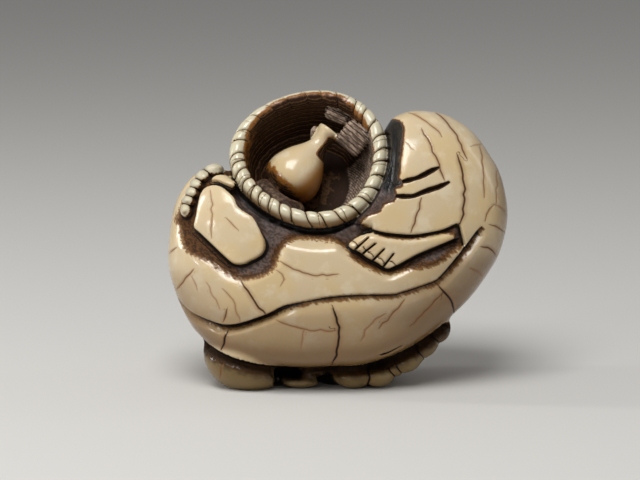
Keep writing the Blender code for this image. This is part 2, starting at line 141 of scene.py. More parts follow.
UNDERSIDE_EDGE = ROBE_OUTLINE[1:14]
UNDERSIDE_TOP = 8.5
FINGER_GAPS = [
    [(2.2, 18.2), (3.7, 19.6)], [(3.1, 17.6), (4.6, 18.8)], [(4.3, 16.7), (5.7, 18.1)],
    [(5.7, 16.0), (6.9, 17.5)],
]
NAILS = [
    [(1.7, 19.2), (2.1, 19.0), (2.4, 18.6)], [(2.7, 18.5), (3.1, 18.4), (3.4, 18.0)],
    [(3.7, 17.7), (4.1, 17.6), (4.4, 17.2)], [(5.0, 17.0), (5.4, 16.9), (5.7, 16.5)],
    [(6.4, 16.6), (6.8, 16.5), (7.2, 16.1)],
]
SLEEVE_FOLDS = [
    [(8.2, 26.65), (9.0, 26.85), (9.9, 27.1), (10.8, 27.5), (11.7, 28.0), (12.6, 28.4)],
    [(7.4, 24.8), (8.3, 24.75), (9.4, 24.8), (10.4, 25.2), (11.5, 25.6), (12.6, 25.95), (13.9, 26.55)],
]
NICK = [(5.4, 4.7), (6.3, 4.9), (8.1, 5.75)]

# How deep the layers and small cuts are, and how far from an edge its step eases out
SOLE_HEIGHT = 1.3
SOLE_REACH = 3.0
SOLE_CROWN = 0.4
SOLE_ROUNDING = 0.22
INSTEP_HEIGHT = 0.9
INSTEP_REACH = 1.2
HAND_HEIGHT = 1.2
HAND_REACH = 1.7
SLEEVE_HEIGHT = 0.85
SLEEVE_REACH = 1.2
UNDER_DEPTH = 1.3
UNDER_REACH = 1.8
FINGER_DEPTH = 0.45
NAIL_DEPTH = 0.14
NICK_DEPTH = 0.25
HEM_BEHIND_DEPTH = 0.6
HEM_BEHIND_REACH = 1.8
FOLD_BEHIND_DEPTH = 0.5
FOLD_BEHIND_REACH = 2.2
GROOVE_DEPTH = 0.18

# How many times half its width a fold of the sleeve is deep
FOLD_STEEPNESS = 1.9

# Sizes that change along a line: places from 0 at its start to 1 at its end, and the size at each
HEM_DEPTH = ((0.0, 0.2, 0.26, 0.36, 0.45, 0.8, 0.93, 1.0),
             (0.6, 0.7, 1.55, 1.5, 0.45, 0.45, 1.1, 0.9))
HEM_REACH = ((0.0, 0.2, 0.27, 0.36, 0.45, 1.0), (1.7, 1.5, 1.2, 1.2, 2.0, 1.7))
STAIN_BELOW_HEM = ((0.0, 0.24, 0.33, 0.45, 0.75, 0.9, 1.0), (0.6, 0.62, 0.5, 0.62, 0.6, 0.9, 0.6))
STAIN_ABOVE_HEM = ((0.0, 0.24, 0.32, 0.6, 0.9, 1.0), (0.06, 0.08, 0.06, 0.08, 0.12, 0.08))
HEM_LINE = ((0.0, 0.1, 0.3, 0.42, 0.9, 1.0), (0.06, 0.08, 0.09, 0.06, 0.09, 0.07))
SOLE_LINE = ((0.0, 0.05, 0.19, 0.24, 0.45, 0.6, 0.7, 0.78, 1.0),
             (0.05, 0.05, 0.06, 0.09, 0.12, 0.2, 0.12, 0.05, 0.05))
HAND_LINE = ((0.0, 0.5, 0.62, 0.95, 1.0), (0.05, 0.06, 0.15, 0.19, 0.09))
SLEEVE_LINE = ((0.0, 0.1, 0.75, 0.85, 1.0), (0.04, 0.06, 0.05, 0.03, 0.03))
FINGER_LINE = ((0.0, 1.0), (0.16, 0.08))
NICK_LINE = ((0.0, 0.2, 1.0), (0.13, 0.13, 0.03))
FOLD_HALF_WIDTH = ((0.0, 0.1, 0.3, 0.6, 0.85, 1.0), (0.24, 0.32, 0.25, 0.34, 0.3, 0.16))

# The stained strip between the sleeve's edge and the hand: its width at each x
STRIP_WIDTH = ((2.5, 4.5, 6.5, 9.0, 11.5, 13.0, 13.5, 15.3),
               (0.15, 0.4, 0.62, 0.6, 0.42, 0.4, 0.6, 1.35))

# The hem and the folds behind
HEM_BEHIND = [
    (18.0, 18.0), (15.5, 14.0), (10.0, 11.0), (3.0, 9.6), (-6.0, 8.0), (-14.5, 8.2), (-19.5, 10.6),
    (-21.4, 13.3), (-22.6, 14.8),
]
FOLDS_BEHIND = [
    [(-17.0, 22.0), (-9.0, 21.5), (0.0, 17.0), (6.0, 11.5)],
    [(-18.5, 17.5), (-10.0, 16.5), (-3.0, 13.5), (2.0, 10.0)],
    [(4.0, 30.5), (9.0, 25.0), (14.0, 21.5), (19.0, 20.5)],
    [(13.5, 33.0), (15.0, 28.5), (18.5, 25.0)],
]

# The basket: its rim's middle, the tilt of its mouth up from the face, and sections as radius and height
RIM_MIDDLE = Vector((-3.5, -4.0, 29.8))
RIM_TILT = radians(30)
MOUTH_WAY = Vector((0.0, -cos(RIM_TILT), sin(RIM_TILT)))
MOUTH_UP = Vector((0.0, sin(RIM_TILT), cos(RIM_TILT)))
RIM_RADIUS = 9.1
RIM_OFF_ROUND = 0.036
RIM_CORNER = radians(51.5)
ROPE_WIDTH = 1.05
ROPE_HEIGHT = 1.25
ROPE_SWELL = 0.16
ROPE_CUT = 0.24
ROPE_TURN_SLANT = 0.61
ROPE_SCRATCH_SLANT = 0.35
BASKET_SIDE = [(0.0, 0.6), (9.55, 0.6), (9.75, -2.5), (9.6, -5.0), (8.7, -8.0), (7.0, -9.8), (0.0, -10.0)]
BASKET_HOLLOW = [(0.0, 6.0), (8.6, 6.0), (8.25, 0.0), (7.95, -2.5), (7.3, -5.0), (5.9, -7.0), (0.0, -7.4)]
BASKET_SEAT = [(0.0, 14.0), (11.6, 14.0), (10.45, 1.0), (10.35, -1.9), (9.0, -2.2), (0.0, -2.2)]

# Round the rim, by degrees from its right: how boldly the turns are cut, how far apart they are, how far
# the painted shadow reaches below the rope, and how far out the inner stain reaches from the middle of the
# rope
CUT_BOLDNESS = ((-180, -160, -10, 20, 60, 85, 140, 160, 180),
                (0.6, 0.8, 1.0, 0.8, 0.6, 0.2, 0.3, 0.5, 0.6))
TURN_SPACING = ((-180, -150, -120, -90, -40, 45, 90, 140, 165, 180),
                (1.4, 1.5, 1.75, 2.1, 1.8, 2.1, 2.3, 2.4, 1.6, 1.4))
SHADOW_BELOW_ROPE = ((-180, -150, -110, -40, 0, 40, 180), (0.15, 0.5, 1.0, 1.0, 0.7, 0.1, 0.0))
STAIN_OVER_ROPE = ((-180, -20, 20, 50, 62, 80, 115, 140, 165, 180),
                   (-0.8, -0.8, -0.75, -0.45, 0.2, 0.35, 0.35, -0.1, -0.65, -0.8))

# The middle of the basket's wall, as its radius by height: the stain inside goes no further out
MID_WALL = ((-8.4, -8.0, -5.0, -2.5, 0.0), (0.0, 7.3, 8.35, 8.85, 20.0))

# What counts as the basket: how far from its axis, and how low and high over its rim
BASKET_WIDEST = 10.6
BASKET_LOWEST = -10.5
BASKET_HIGHEST = 2.5

# The ripples of its wall inside, the plait outside, and the ribs of the bundles
RIPPLE_SPACING = 0.75
RIPPLE_DEPTH = 0.05
PLAIT_SPACING = 1.5
PLAITS_ROUND = 44.0
PLAIT_DEPTH = 0.14
RIB_DEPTH = 0.1
RIB_SPACING = 0.55

# The gourd: the middle of its bulb, its mouth, and its section along that line
BULB = Vector((-5.3, -0.8, 28.0))
MOUTH = Vector((-1.0, -0.3, 33.5))
GOURD = [
    (0.0, 7.1), (1.0, 7.05), (1.55, 6.9), (1.5, 6.4), (1.25, 5.7), (1.15, 5.0), (1.3, 4.3), (1.85, 3.3),
    (2.6, 2.25), (3.3, 0.9), (3.7, -0.6), (3.45, -2.1), (2.3, -3.3), (0.0, -3.8),
]

# Rounded lumps, each with its middle and its half sizes
TOES = [
    ((-15.9, -2.4, 28.3), (1.25, 2.4, 0.85)), ((-17.3, -2.75, 27.45), (1.0, 2.4, 0.85)),
    ((-18.05, -3.15, 26.4), (0.95, 2.4, 0.8)), ((-18.6, -3.5, 25.35), (0.9, 2.4, 0.8)),
    ((-19.05, -3.8, 24.3), (0.85, 2.4, 0.8)), ((-19.4, -4.0, 23.05), (0.75, 2.4, 1.0)),
]
LOBE = ((-11.2, -1.2, 4.9), (6.2, 5.6, 5.3))
LOBE_SIDE = -8.3
KNOBS = [
    ((1.95, -1.7, 2.15), (2.8, 2.7, 2.0)), ((5.2, -1.5, 1.95), (2.05, 2.7, 1.65)),
    ((7.1, -0.9, 2.7), (1.3, 2.4, 1.2)), ((8.8, -1.5, 4.2), (2.0, 2.6, 2.0)),
    ((11.1, -1.1, 6.0), (1.8, 2.4, 1.85)), ((12.9, -0.8, 7.9), (1.7, 2.3, 1.9)),
]
BETWEEN_KNOBS = [
    ((4.0, -1.2, 2.2), (1.7, 2.6, 1.8)), ((7.2, -1.1, 3.35), (1.9, 2.45, 1.75)),
    ((10.0, -1.0, 5.1), (1.6, 2.4, 1.8)), ((12.0, -0.7, 7.0), (1.5, 2.3, 1.75)),
]
UNDERSIDE = [
    ((-4.8, -1.6, 0.9), (2.5, 2.0, 0.65)), ((-3.2, -1.9, 2.35), (2.1, 1.9, 0.6)),
    ((-3.5, 2.2, 3.2), (5.6, 3.4, 2.3)), ((2.5, 1.4, 3.4), (3.6, 4.0, 2.9)),
    ((6.5, 1.2, 4.6), (3.6, 3.9, 3.0)), ((10.5, 0.8, 7.0), (2.8, 3.4, 2.6)),
    ((3.5, 4.5, 3.8), (5.0, 3.0, 2.8)), ((-6.9, 0.9, 1.7), (2.4, 2.6, 1.7)),
    ((-0.4, 1.2, 1.6), (2.2, 2.4, 1.5)),
]

# In the basket: the shelf that the gourd leans on, and two ribbed bundles by the wall
SHELF_FROM = radians(207)
SHELF_TO = radians(252)
SHELF_RADIUS = 6.7
SHELF_HEIGHT = -2.6
SHELF_LUMP = (1.35, 1.3, 1.3)
SCROLL = ((-3.0, 0.2, 32.8), (0.6, 0.7, 1.3))
BUNDLES = [
    ((2.0, -0.5, 32.4), (1.85, 1.5, 1.75), radians(40)),
    ((-0.2, 0.9, 35.3), (1.5, 0.8, 0.75), radians(24)),
]

# The two cord holes in the back run to one turning point inside
CORD_HOLES = [((-6.5, 15.0, 17.0), 1.85), ((3.0, 15.0, 14.5), 1.6)]
CORD_TURN = Vector((-2.0, 5.4, 15.8))
CORD_TURN_RADIUS = 1.8

# Age cracks: where each starts and ends, how far it bows to its left, and how dark it is
CRACKS = [
    ((9.1, 35.6), (13.1, 32.4), 0.4, 0.6), ((12.6, 35.6), (16.3, 29.6), 0.5, 0.75),
    ((10.6, 33.3), (13.3, 26.9), 0.25, 0.75), ((8.4, 31.7), (9.5, 30.7), 0.0, 0.4),
    ((15.1, 30.0), (15.3, 21.3), 0.7, 0.9), ((16.9, 31.2), (18.5, 31.6), 0.0, 0.4),
    ((18.1, 31.2), (18.5, 24.7), 0.15, 0.6), ((20.3, 28.1), (20.1, 23.9), 0.1, 0.45),
    ((19.7, 23.7), (18.6, 21.7), -0.2, 0.6), ((19.8, 23.8), (21.7, 22.5), 0.25, 0.5),
    ((19.3, 21.2), (21.3, 20.3), 0.2, 0.7), ((18.2, 18.4), (20.2, 17.3), 0.25, 0.8),
    ((16.7, 15.7), (18.3, 14.5), 0.25, 0.6), ((10.4, 24.5), (9.1, 20.3), 0.2, 0.75),
    ((12.8, 13.3), (14.8, 10.1), 0.35, 1.0), ((13.1, 12.6), (9.1, 8.4), 0.13, 0.7),
    ((8.3, 11.7), (5.2, 8.2), 0.15, 0.7), ((5.9, 10.0), (2.9, 6.6), -0.5, 0.55),
    ((-0.7, 10.7), (-0.8, 3.5), 0.85, 1.0), ((-7.8, 9.2), (-0.3, 7.9), -0.5, 0.6),
    ((-4.3, 8.0), (-4.7, 5.6), 0.0, 0.5), ((-7.3, 16.6), (-0.1, 15.0), -0.75, 0.65),
    ((-7.8, 15.5), (-7.3, 13.5), 0.7, 0.5), ((-12.2, 13.9), (-9.1, 9.8), -0.1, 0.9),
    ((-14.1, 10.5), (-14.5, 9.1), 0.0, 0.8), ((-14.1, 7.6), (-14.9, 5.4), 0.0, 1.0),
    ((-14.6, 13.1), (-12.4, 8.8), 0.4, 0.45), ((-16.7, 13.9), (-15.0, 10.6), 0.1, 0.35),
    ((-20.7, 12.9), (-18.4, 15.5), 0.1, 0.7), ((-18.6, 14.6), (-17.9, 12.9), 0.1, 0.4),
    ((-21.7, 17.6), (-20.7, 18.3), 0.1, 0.7), ((-16.3, 25.6), (-16.1, 19.5), 0.2, 0.5),
    ((-14.2, 22.1), (-12.6, 20.5), 0.0, 0.5), ((-14.8, 3.2), (-15.1, 1.7), 0.1, 0.7),
]
CRACK_WIDTH = 0.05
CRACK_DEPTH = 0.09

# The ivory: the way its scratches run, the weave's spacing, and the marks that say where each finish lies
SCRATCH_SLANT = radians(47)
WEAVE_SPACING = 0.36
FAR = 9.0
# Some marks place painted shade, painted shadow and painted light rather than a finish
MARKS = ("stain", "cut side", "cut near", "crack side", "crack near", "crack dark", "cavity",
         "hollow", "rope", "gourd", "painted_turn_shade", "grey", "rib", "shade", "slate", "painted_shadow")

# The picture: what the lens looks at, how wide it sees in metres, and each lamp's place, size and power
VIEW_MIDDLE = Vector((-2.33, 0.0, 19.28))
VIEW_WIDTH = 0.08283
LENS = 150.0
FILM_WIDTH = 36.0
LAMPS = [
    ("left strip", (-0.33, 0.03, 0.13), (0.015, 0.14), 0.31),
    ("left lamp", (-0.26, -0.16, 0.07), (0.02, 0.05), 0.1),
    ("right strip", (0.33, 0.08, 0.18), (0.02, 0.2), 0.06),
    ("overhead", (-0.06, -0.17, 0.34), (0.2, 0.2), 1.25),
]
ROOM_LIGHT = 0.25


def ease(value):
    """0 to 1 with a soft start and end."""
    value = np.clip(value, 0.0, 1.0)
    return value * value * (3.0 - 2.0 * value)


def through(points, closed=False, step=0.35):
    """A smooth curve through the points, as an array of close places."""
    known = np.array(points, dtype=float)
    ends = (known[-1:], known[:2]) if closed else (known[:1], known[-1:])
    known = np.vstack((ends[0], known, ends[1]))
    places = []
    for before, start, end, after in zip(known, known[1:], known[2:], known[3:]):
        pieces = max(2, int(np.linalg.norm(end - start) / step))
        for t in np.arange(pieces) / pieces:
            turn = 2 * before - 5 * start + 4 * end - after
            bend = 3 * start - before - 3 * end + after
            places.append(0.5 * (2 * start + (end - before) * t + turn * t ** 2 + bend * t ** 3))
    places.append(known[-2])
    return np.array(places)


def beside(line, places, reach=60.0):
    """How far each place is from a line, plus on its left; how far along it, 0 to 1; how near its ends."""
    away = np.full(len(places), reach)
    along = np.zeros(len(places))
    near = np.flatnonzero(((places > line.min(0) - reach) & (places < line.max(0) + reach)).all(axis=1))
    spots = places[near]
    best = np.full(len(near), reach)
    firm = np.zeros(len(near))
    side = np.ones(len(near))
    passed = np.zeros(len(near))
    run = 0.0
    for start, end in zip(line[:-1], line[1:]):
        length = np.hypot(*(end - start))
        way = (end - start) / length
        offset = spots - start
        t = np.clip(offset @ way, 0.0, length)
        distance = np.hypot(offset[:, 0] - t * way[0], offset[:, 1] - t * way[1])
        left = way[0] * offset[:, 1] - way[1] * offset[:, 0]
        nearer = (distance < best - 1e-9) | ((distance < best + 1e-9) & (np.abs(left) > firm))
        best[nearer] = distance[nearer]
        firm[nearer] = np.abs(left)[nearer]
        side[nearer] = np.where(left < 0.0, -1.0, 1.0)[nearer]
        passed[nearer] = run + t[nearer]
        run += length
    away[near] = best * side
    along[near] = passed / run
    return away, along, np.minimum(along, 1.0 - along) * run


def put_in(collection, name, bm):
    """A mesh that was worked on, as an object in a collection."""
    mesh = bpy.data.meshes.new(name)
    bm.to_mesh(mesh)
    bm.free()
    thing = bpy.data.objects.new(name, mesh)
    collection.objects.link(thing)
    return thing


def settle(thing):
    """Make an object's modifiers part of its mesh."""
    bpy.context.view_layer.update()
    shaped = thing.evaluated_get(bpy.context.evaluated_depsgraph_get())
    mesh = bpy.data.meshes.new_from_object(shaped)
    thing.modifiers.clear()
    thing.data = mesh


def read_places(thing, attribute="co"):
    """An object's vertices as an array of places, or of normals."""
    flat = np.empty(len(thing.data.vertices) * 3)
    thing.data.vertices.foreach_get(attribute, flat)
    return flat.reshape(-1, 3)


def write_places(thing, places):
    """Move an object's vertices to new places."""
    thing.data.vertices.foreach_set("co", places.ravel())
    thing.data.update()


def robe(collection):
    """The robe's mass: a ball reshaped to the outline, its rim pulled forward at the bottom."""
    curve = through(ROBE_OUTLINE, closed=True)[:-1] - np.array(MIDDLE)
    angles = np.arctan2(curve[:, 1], curve[:, 0])
    order = np.argsort(angles)
    radii = np.hypot(curve[:, 0], curve[:, 1])
    bm = bmesh.new()
    bmesh.ops.create_uvsphere(bm, u_segments=240, v_segments=160, radius=1.0)
    thing = put_in(collection, "robe", bm)
    ball = read_places(thing)
    angle = np.arctan2(ball[:, 1], ball[:, 0])
    across = np.clip(np.hypot(ball[:, 0], ball[:, 1]), 0.0, 1.0) ** (2.0 / ROBE_FULLNESS)
    out = np.abs(ball[:, 2]) ** (2.0 / ROBE_FULLNESS)
    radius = np.interp(angle, angles[order], radii[order], period=tau) * across
    x = MIDDLE[0] + radius * np.cos(angle)
    z = MIDDLE[1] + radius * np.sin(angle)
    rim = -OVERHANG * ease((OVERHANG_TO - z) / (OVERHANG_TO - OVERHANG_FROM))
    from_shoulder = (x - SHOULDER[0]) ** 2 + (z - SHOULDER[1]) ** 2
    swell = SHOULDER_SWELL * np.exp(-from_shoulder / (2 * SHOULDER_SPREAD ** 2))
    front = rim - (ROBE_FRONT + rim + swell) * out
    back = rim + (ROBE_BACK - rim + 0.6 * swell) * out
    write_places(thing, np.column_stack((x, np.where(ball[:, 2] > 0.0, front, back), z)))
    return thing


def slope_to_basket(thing):
    """Cut the face back round the basket, and down from the shoulder's edge to it."""
    places = read_places(thing)
    face = places[:, [0, 2]]
    offset = np.column_stack((face[:, 0] - RIM_MIDDLE.x, (face[:, 1] - RIM_MIDDLE.z) / cos(RIM_TILT)))
    ring = np.hypot(offset[:, 0], offset[:, 1]) / off_round(np.arctan2(offset[:, 1], offset[:, 0]))
    beyond = (ring - RIM_RADIUS - ROPE_WIDTH) * cos(RIM_TILT)
    edge, run, ends = beside(through(SHOULDER_EDGE), face)
    facet = FACET_SLOPE * np.clip(-edge, 0.0, FACET_WIDTH)
    facet = facet * (1.0 - ease((beyond - 1.5) / 1.5)) * ease(ends / 1.5)
    moat = MOAT_DEPTH * (1.0 - ease((beyond - 0.6) / MOAT_WIDTH))
    dome = through(SHOULDER_EDGE + SLEEVE_EDGE)
    layers = (through(SOLE, closed=True), through(INSTEP, closed=True), dome)
    raised = np.maximum.reduce([beside(line, face)[0] for line in layers])
    depth = np.maximum(facet, moat * (1.0 - ease((raised + 0.5) / 0.6)))
    places[:, 1] += depth * ease(-places[:, 1] / 3.0)
    write_places(thing, places)


def off_round(angle):
    """How much wider than a circle the basket is, at an angle round its rim."""
    return 1.0 + RIM_OFF_ROUND * np.cos(3.0 * (angle - RIM_CORNER))


def out_of_round(thing):
    """Press a round part of the basket out of round."""
    places = read_places(thing)
    offset = places - np.array(RIM_MIDDLE)
    height = offset @ np.array(MOUTH_WAY)
    up = offset @ np.array(MOUTH_UP)
    wider = off_round(np.arctan2(up, offset[:, 0])) - 1.0
    across = offset - height[:, None] * np.array(MOUTH_WAY)
    write_places(thing, places + across * wider[:, None])
    return thing


def lump(bm, middle, half_sizes):
    """One rounded lump."""
    place = Matrix.Translation(middle) @ Matrix.Diagonal((*half_sizes, 1.0))
    bmesh.ops.create_uvsphere(bm, u_segments=40, v_segments=26, radius=1.0, matrix=place)


def lumps(collection, name, shapes):
    """Rounded lumps as one object."""
    bm = bmesh.new()
    for middle, half_sizes in shapes:
        lump(bm, middle, half_sizes)
    return put_in(collection, name, bm)


def lobe(collection):
    """The big lobe underneath, its right side cut straight."""
    bm = bmesh.new()
    lump(bm, *LOBE)
    everything = bm.verts[:] + bm.edges[:] + bm.faces[:]
    cut = bmesh.ops.bisect_plane(bm, geom=everything, plane_co=(LOBE_SIDE, 0.0, 0.0),
                                 plane_no=(1.0, 0.0, 0.0), clear_outer=True)
    rim = [item for item in cut["geom_cut"] if isinstance(item, bmesh.types.BMEdge)]
    bmesh.ops.holes_fill(bm, edges=rim)
    return put_in(collection, "lobe", bm)


def facing(axis):
    """The matrix that points a part's top along an axis."""
    return axis.to_track_quat('Z', 'Y').to_matrix().to_4x4()


def turned(collection, name, section, steps, middle, axis):
    """A turned solid from a section given top to bottom, stood at middle with its top along axis."""
    bm = bmesh.new()
    points = [bm.verts.new((max(radius, 0.0), 0.0, height)) for radius, height in section]
    edges = [bm.edges.new(pair) for pair in zip(points[:-1], points[1:])]
    bmesh.ops.spin(bm, geom=points + edges, axis=(0.0, 0.0, 1.0), cent=(0.0, 0.0, 0.0), angle=tau,
                   steps=steps, use_merge=True)
    bmesh.ops.remove_doubles(bm, verts=bm.verts[:], dist=0.0001)
    bmesh.ops.recalc_face_normals(bm, faces=bm.faces[:])
    bmesh.ops.transform(bm, matrix=facing(axis), verts=bm.verts[:])
    bmesh.ops.translate(bm, vec=middle, verts=bm.verts[:])
    return put_in(collection, name, bm)


def basket_part(collection, name, section):
    """A turned part of the basket, or a cutter for it, pressed out of round."""
    return out_of_round(turned(collection, name, section, 96, RIM_MIDDLE, MOUTH_WAY))


def shelf(collection):
    """A low shelf round the lower left of the basket's wall, and a scroll beside the gourd's neck."""
    shapes = [SCROLL]
    for angle in np.linspace(SHELF_FROM, SHELF_TO, 15):
        out = Vector((1.0, 0.0, 0.0)) * cos(angle) + MOUTH_UP * sin(angle)
        shapes.append((RIM_MIDDLE + out * SHELF_RADIUS + MOUTH_WAY * SHELF_HEIGHT, SHELF_LUMP))
    return lumps(collection, "shelf", shapes)


def bundles(collection):
    """Two blocks with rounded corners, for the ribbed bundles."""
    bm = bmesh.new()
    for middle, half_sizes, turn in BUNDLES:
        place = Matrix.Translation(middle) @ Matrix.Rotation(turn, 4, 'Y')
        place = place @ Matrix.Diagonal((*half_sizes, 1.0))
        block = bmesh.ops.create_cube(bm, size=2.0, matrix=place)["verts"]
        edges = list({edge for corner in block for edge in corner.link_edges})
        bmesh.ops.bevel(bm, geom=edges, offset=0.5, segments=3, profile=0.5, affect='EDGES', material=-1)
    return put_in(collection, "bundles", bm)


def rope_ring(collection):
    """The ring that the rim's rope is cut in."""
    bm = bmesh.new()
    place = Matrix.Translation((RIM_RADIUS, 0.0, 0.0)) @ Matrix.Rotation(pi / 2, 4, 'X')
    ring = bmesh.ops.create_circle(bm, segments=28, radius=ROPE_WIDTH, matrix=place)["verts"]
    bmesh.ops.scale(bm, vec=(1.0, 1.0, ROPE_HEIGHT / ROPE_WIDTH), verts=ring)
    bmesh.ops.spin(bm, geom=bm.verts[:] + bm.edges[:], axis=(0.0, 0.0, 1.0), cent=(0.0, 0.0, 0.0),
                   angle=tau, steps=220, use_merge=True)
    bmesh.ops.recalc_face_normals(bm, faces=bm.faces[:])
    bmesh.ops.transform(bm, matrix=facing(MOUTH_WAY), verts=bm.verts[:])
    bmesh.ops.translate(bm, vec=RIM_MIDDLE, verts=bm.verts[:])
    return out_of_round(put_in(collection, "rope", bm))


def cord_holes(collection):
    """A cutter for the two cord holes and the bend that joins them."""
    bm = bmesh.new()
    for mouth, radius in CORD_HOLES:
        way = Vector(mouth) - CORD_TURN
        place = Matrix.Translation(CORD_TURN + way / 2) @ facing(way)
        bmesh.ops.create_cone(bm, cap_ends=True, segments=32, radius1=radius * 0.9, radius2=radius,
                              depth=way.length, matrix=place)
    lump(bm, CORD_TURN, (CORD_TURN_RADIUS, CORD_TURN_RADIUS, CORD_TURN_RADIUS))
    thing = put_in(collection, "cord holes", bm)
    merge(thing, [], ROUGH_GRAIN)
    return thing


def merge(thing, others, grain):
    """Make one skin round an object and the others that overlap it."""
    bm = bmesh.new()
    for one in [thing] + others:
        bm.from_mesh(one.data)
    bm.to_mesh(thing.data)
    bm.free()
    skin = thing.modifiers.new("Skin", 'REMESH')
    skin.mode = 'VOXEL'
    skin.voxel_size = grain
    settle(thing)


def cut_away(thing, cutter):
    """Cut the shape of the cutter out of an object."""
    cut = thing.modifiers.new("Cut", 'BOOLEAN')
    cut.operation = 'DIFFERENCE'
    cut.solver = 'EXACT'
    cut.object = cutter
    settle(thing)


def soften(thing, passes):
    """Rub an object's edges down, pass after pass."""
    smooth = thing.modifiers.new("Soften", 'SMOOTH')
    smooth.factor = 0.5
    smooth.iterations = passes
    settle(thing)


def basket_view(places):
    """Each place as the basket has it: distance from its axis, height over the rim, and angle round it."""
    offset = places - np.array(RIM_MIDDLE)
    height = offset @ np.array(MOUTH_WAY)
    up = offset @ np.array(MOUTH_UP)
    angle = np.arctan2(up, offset[:, 0])
    return np.hypot(offset[:, 0], up) / off_round(angle), height, angle


def gourd_view(places):
    """Each place's distance outside the gourd's skin, and its place along the gourd's line."""
    way = np.array((MOUTH - BULB).normalized())
    offset = places - np.array(BULB)
    along = offset @ way
    across = np.linalg.norm(offset - along[:, None] * way, axis=1)
    heights = [height for radius, height in reversed(GOURD)]
    radii = [radius for radius, height in reversed(GOURD)]
    return across - np.interp(along, heights, radii, left=-FAR, right=-FAR), along


def step_down(distance, depth, reach, lip):
    """Depth of the cut beside an edge: steep at the upper layer, easing out over reach below it."""
    lower = depth * (1.0 - ease(-distance / reach))
    upper = depth * (1.0 - ease(distance / lip))
    return np.where(distance < 0.0, lower, upper)


def note_line(marks, kind, at, distance, half_width, dark=None):
    """Mark a dark line where it lies nearer, in its own half widths, than those marked so far."""
    side = np.clip(distance / half_width, -FAR, FAR)
    nearer = np.abs(side) < marks[kind + " near"][at]
    marks[kind + " near"][at[nearer]] = np.abs(side)[nearer]
    marks[kind + " side"][at[nearer]] = side[nearer]
    if dark is not None:
        marks[kind + " dark"][at[nearer]] = dark


def on_surface(distance, line, face, normals):
    """A distance seen from the front, made into the distance over the surface where it turns away."""
    step = 0.05
    across = (beside(line, face + [step, 0.0])[0] - distance) / step
    up = (beside(line, face + [0.0, step])[0] - distance) / step
    lean = across * normals[:, 0] + up * normals[:, 2]
    return distance / np.sqrt(np.clip(1.0 - lean ** 2, 0.04, 1.0))


def between_ends(distance, ends):
    """A line's distance, put far away beyond its two ends."""
    return np.where(ends > 0.02, distance, FAR * FAR)


def face_edges(places, normals):
    """For the edge of each layer: how far it is from every place, how far along, and how near its ends."""
    face = places[:, [0, 2]]
    lines = {
        "dome": through(SHOULDER_EDGE + SLEEVE_EDGE), "sleeve": through(SLEEVE_EDGE),
        "recess": through(RECESS), "toe strip": through(TOE_STRIP),
        "sole": through(SOLE, closed=True), "instep": through(INSTEP, closed=True),
        "hand": through(HAND), "hem": through(HEM), "under": through(UNDERSIDE_EDGE),
    }
    off, run, ends = {}, {}, {}
    for name, line in lines.items():
        off[name], run[name], ends[name] = beside(line, face)
    off["hem"] = on_surface(off["hem"], lines["hem"], face, normals)
    return off, run, ends


def layer_depths(off, run, ends, by_sleeve, low):
    """How deep the face is cut beside the edges of its layers."""
    hem = step_down(off["hem"], np.interp(run["hem"], *HEM_DEPTH), np.interp(run["hem"], *HEM_REACH), 0.25)
    sole = step_down(off["sole"], SOLE_HEIGHT, SOLE_REACH, 0.3) * (1.0 - ease((off["instep"] + 0.3) / 0.3))
    crown = np.clip(1.0 - off["sole"] / 3.5, 0.0, 1.0) ** 2 * SOLE_CROWN
    rounding = np.clip(1.0 - off["sole"] / 0.4, 0.0, 1.0) ** 2 * SOLE_ROUNDING
    instep = step_down(off["instep"], INSTEP_HEIGHT, INSTEP_REACH, 0.2)
    hand = step_down(off["hand"], HAND_HEIGHT, HAND_REACH, 0.25)
    sleeve = np.where(by_sleeve, step_down(off["dome"], SLEEVE_HEIGHT, SLEEVE_REACH, 0.25), 0.0)
    under = step_down(off["under"], UNDER_DEPTH, UNDER_REACH, 0.3)
    gap = np.where((off["under"] < 0.0) & low, under, 0.0)
    return np.maximum.reduce([
        hem * ease(ends["hem"] / 1.2), sole, (crown + rounding) * (off["sole"] > 0.0),
        instep * (off["sole"] < 0.0), hand * ease(ends["hand"] / 0.6),
        sleeve * (1.0 - 0.5 * (off["hand"] > 0.3) * ease(-off["dome"])), gap * ease(ends["under"] / 2.0)])


def stain_face(off, run, ends, by_sleeve, places, marks, at):
    """Brown in the sunk hollow and along the hem, slate grey by the basket, painted shadow in the gap
    underneath.
    """
    x = places[:, 0]
    hand_top = np.where(by_sleeve, -off["dome"] - np.interp(x, *STRIP_WIDTH), FAR)
    hollow = np.minimum.reduce([
        off["recess"], -3.0 * (off["dome"] - np.where(by_sleeve, 0.0, 0.3)), -3.0 * off["sole"],
        -2.0 * np.minimum(off["hand"], hand_top), -off["toe strip"], -2.0 * off["instep"]])
    below = np.interp(run["hem"], *STAIN_BELOW_HEM) + off["hem"]
    above = np.interp(run["hem"], *STAIN_ABOVE_HEM) - off["hem"]
    marks["stain"][at] = np.maximum(hollow, np.minimum(below, above) - FAR * (ends["hem"] < 0.02))
    by_shoulder = ease(x - 5.0) * ease((places[:, 2] - 24.5) / 1.5)
    slate = ease((0.3 - off["dome"]) / 0.3) * ease((x + 14.5) / 3.0)
    marks["slate"][at] = slate * (0.5 + 0.5 * by_shoulder)
    # Painted shadow: near black in the void behind the bars under the robe
    by_bars = ease((x + 8.7) / 0.3) * ease((6.0 - x) / 2.0) * (off["under"] < -0.2)
    marks["painted_shadow"][at] = by_bars * ease((places[:, 1] + 2.4) / 0.9)


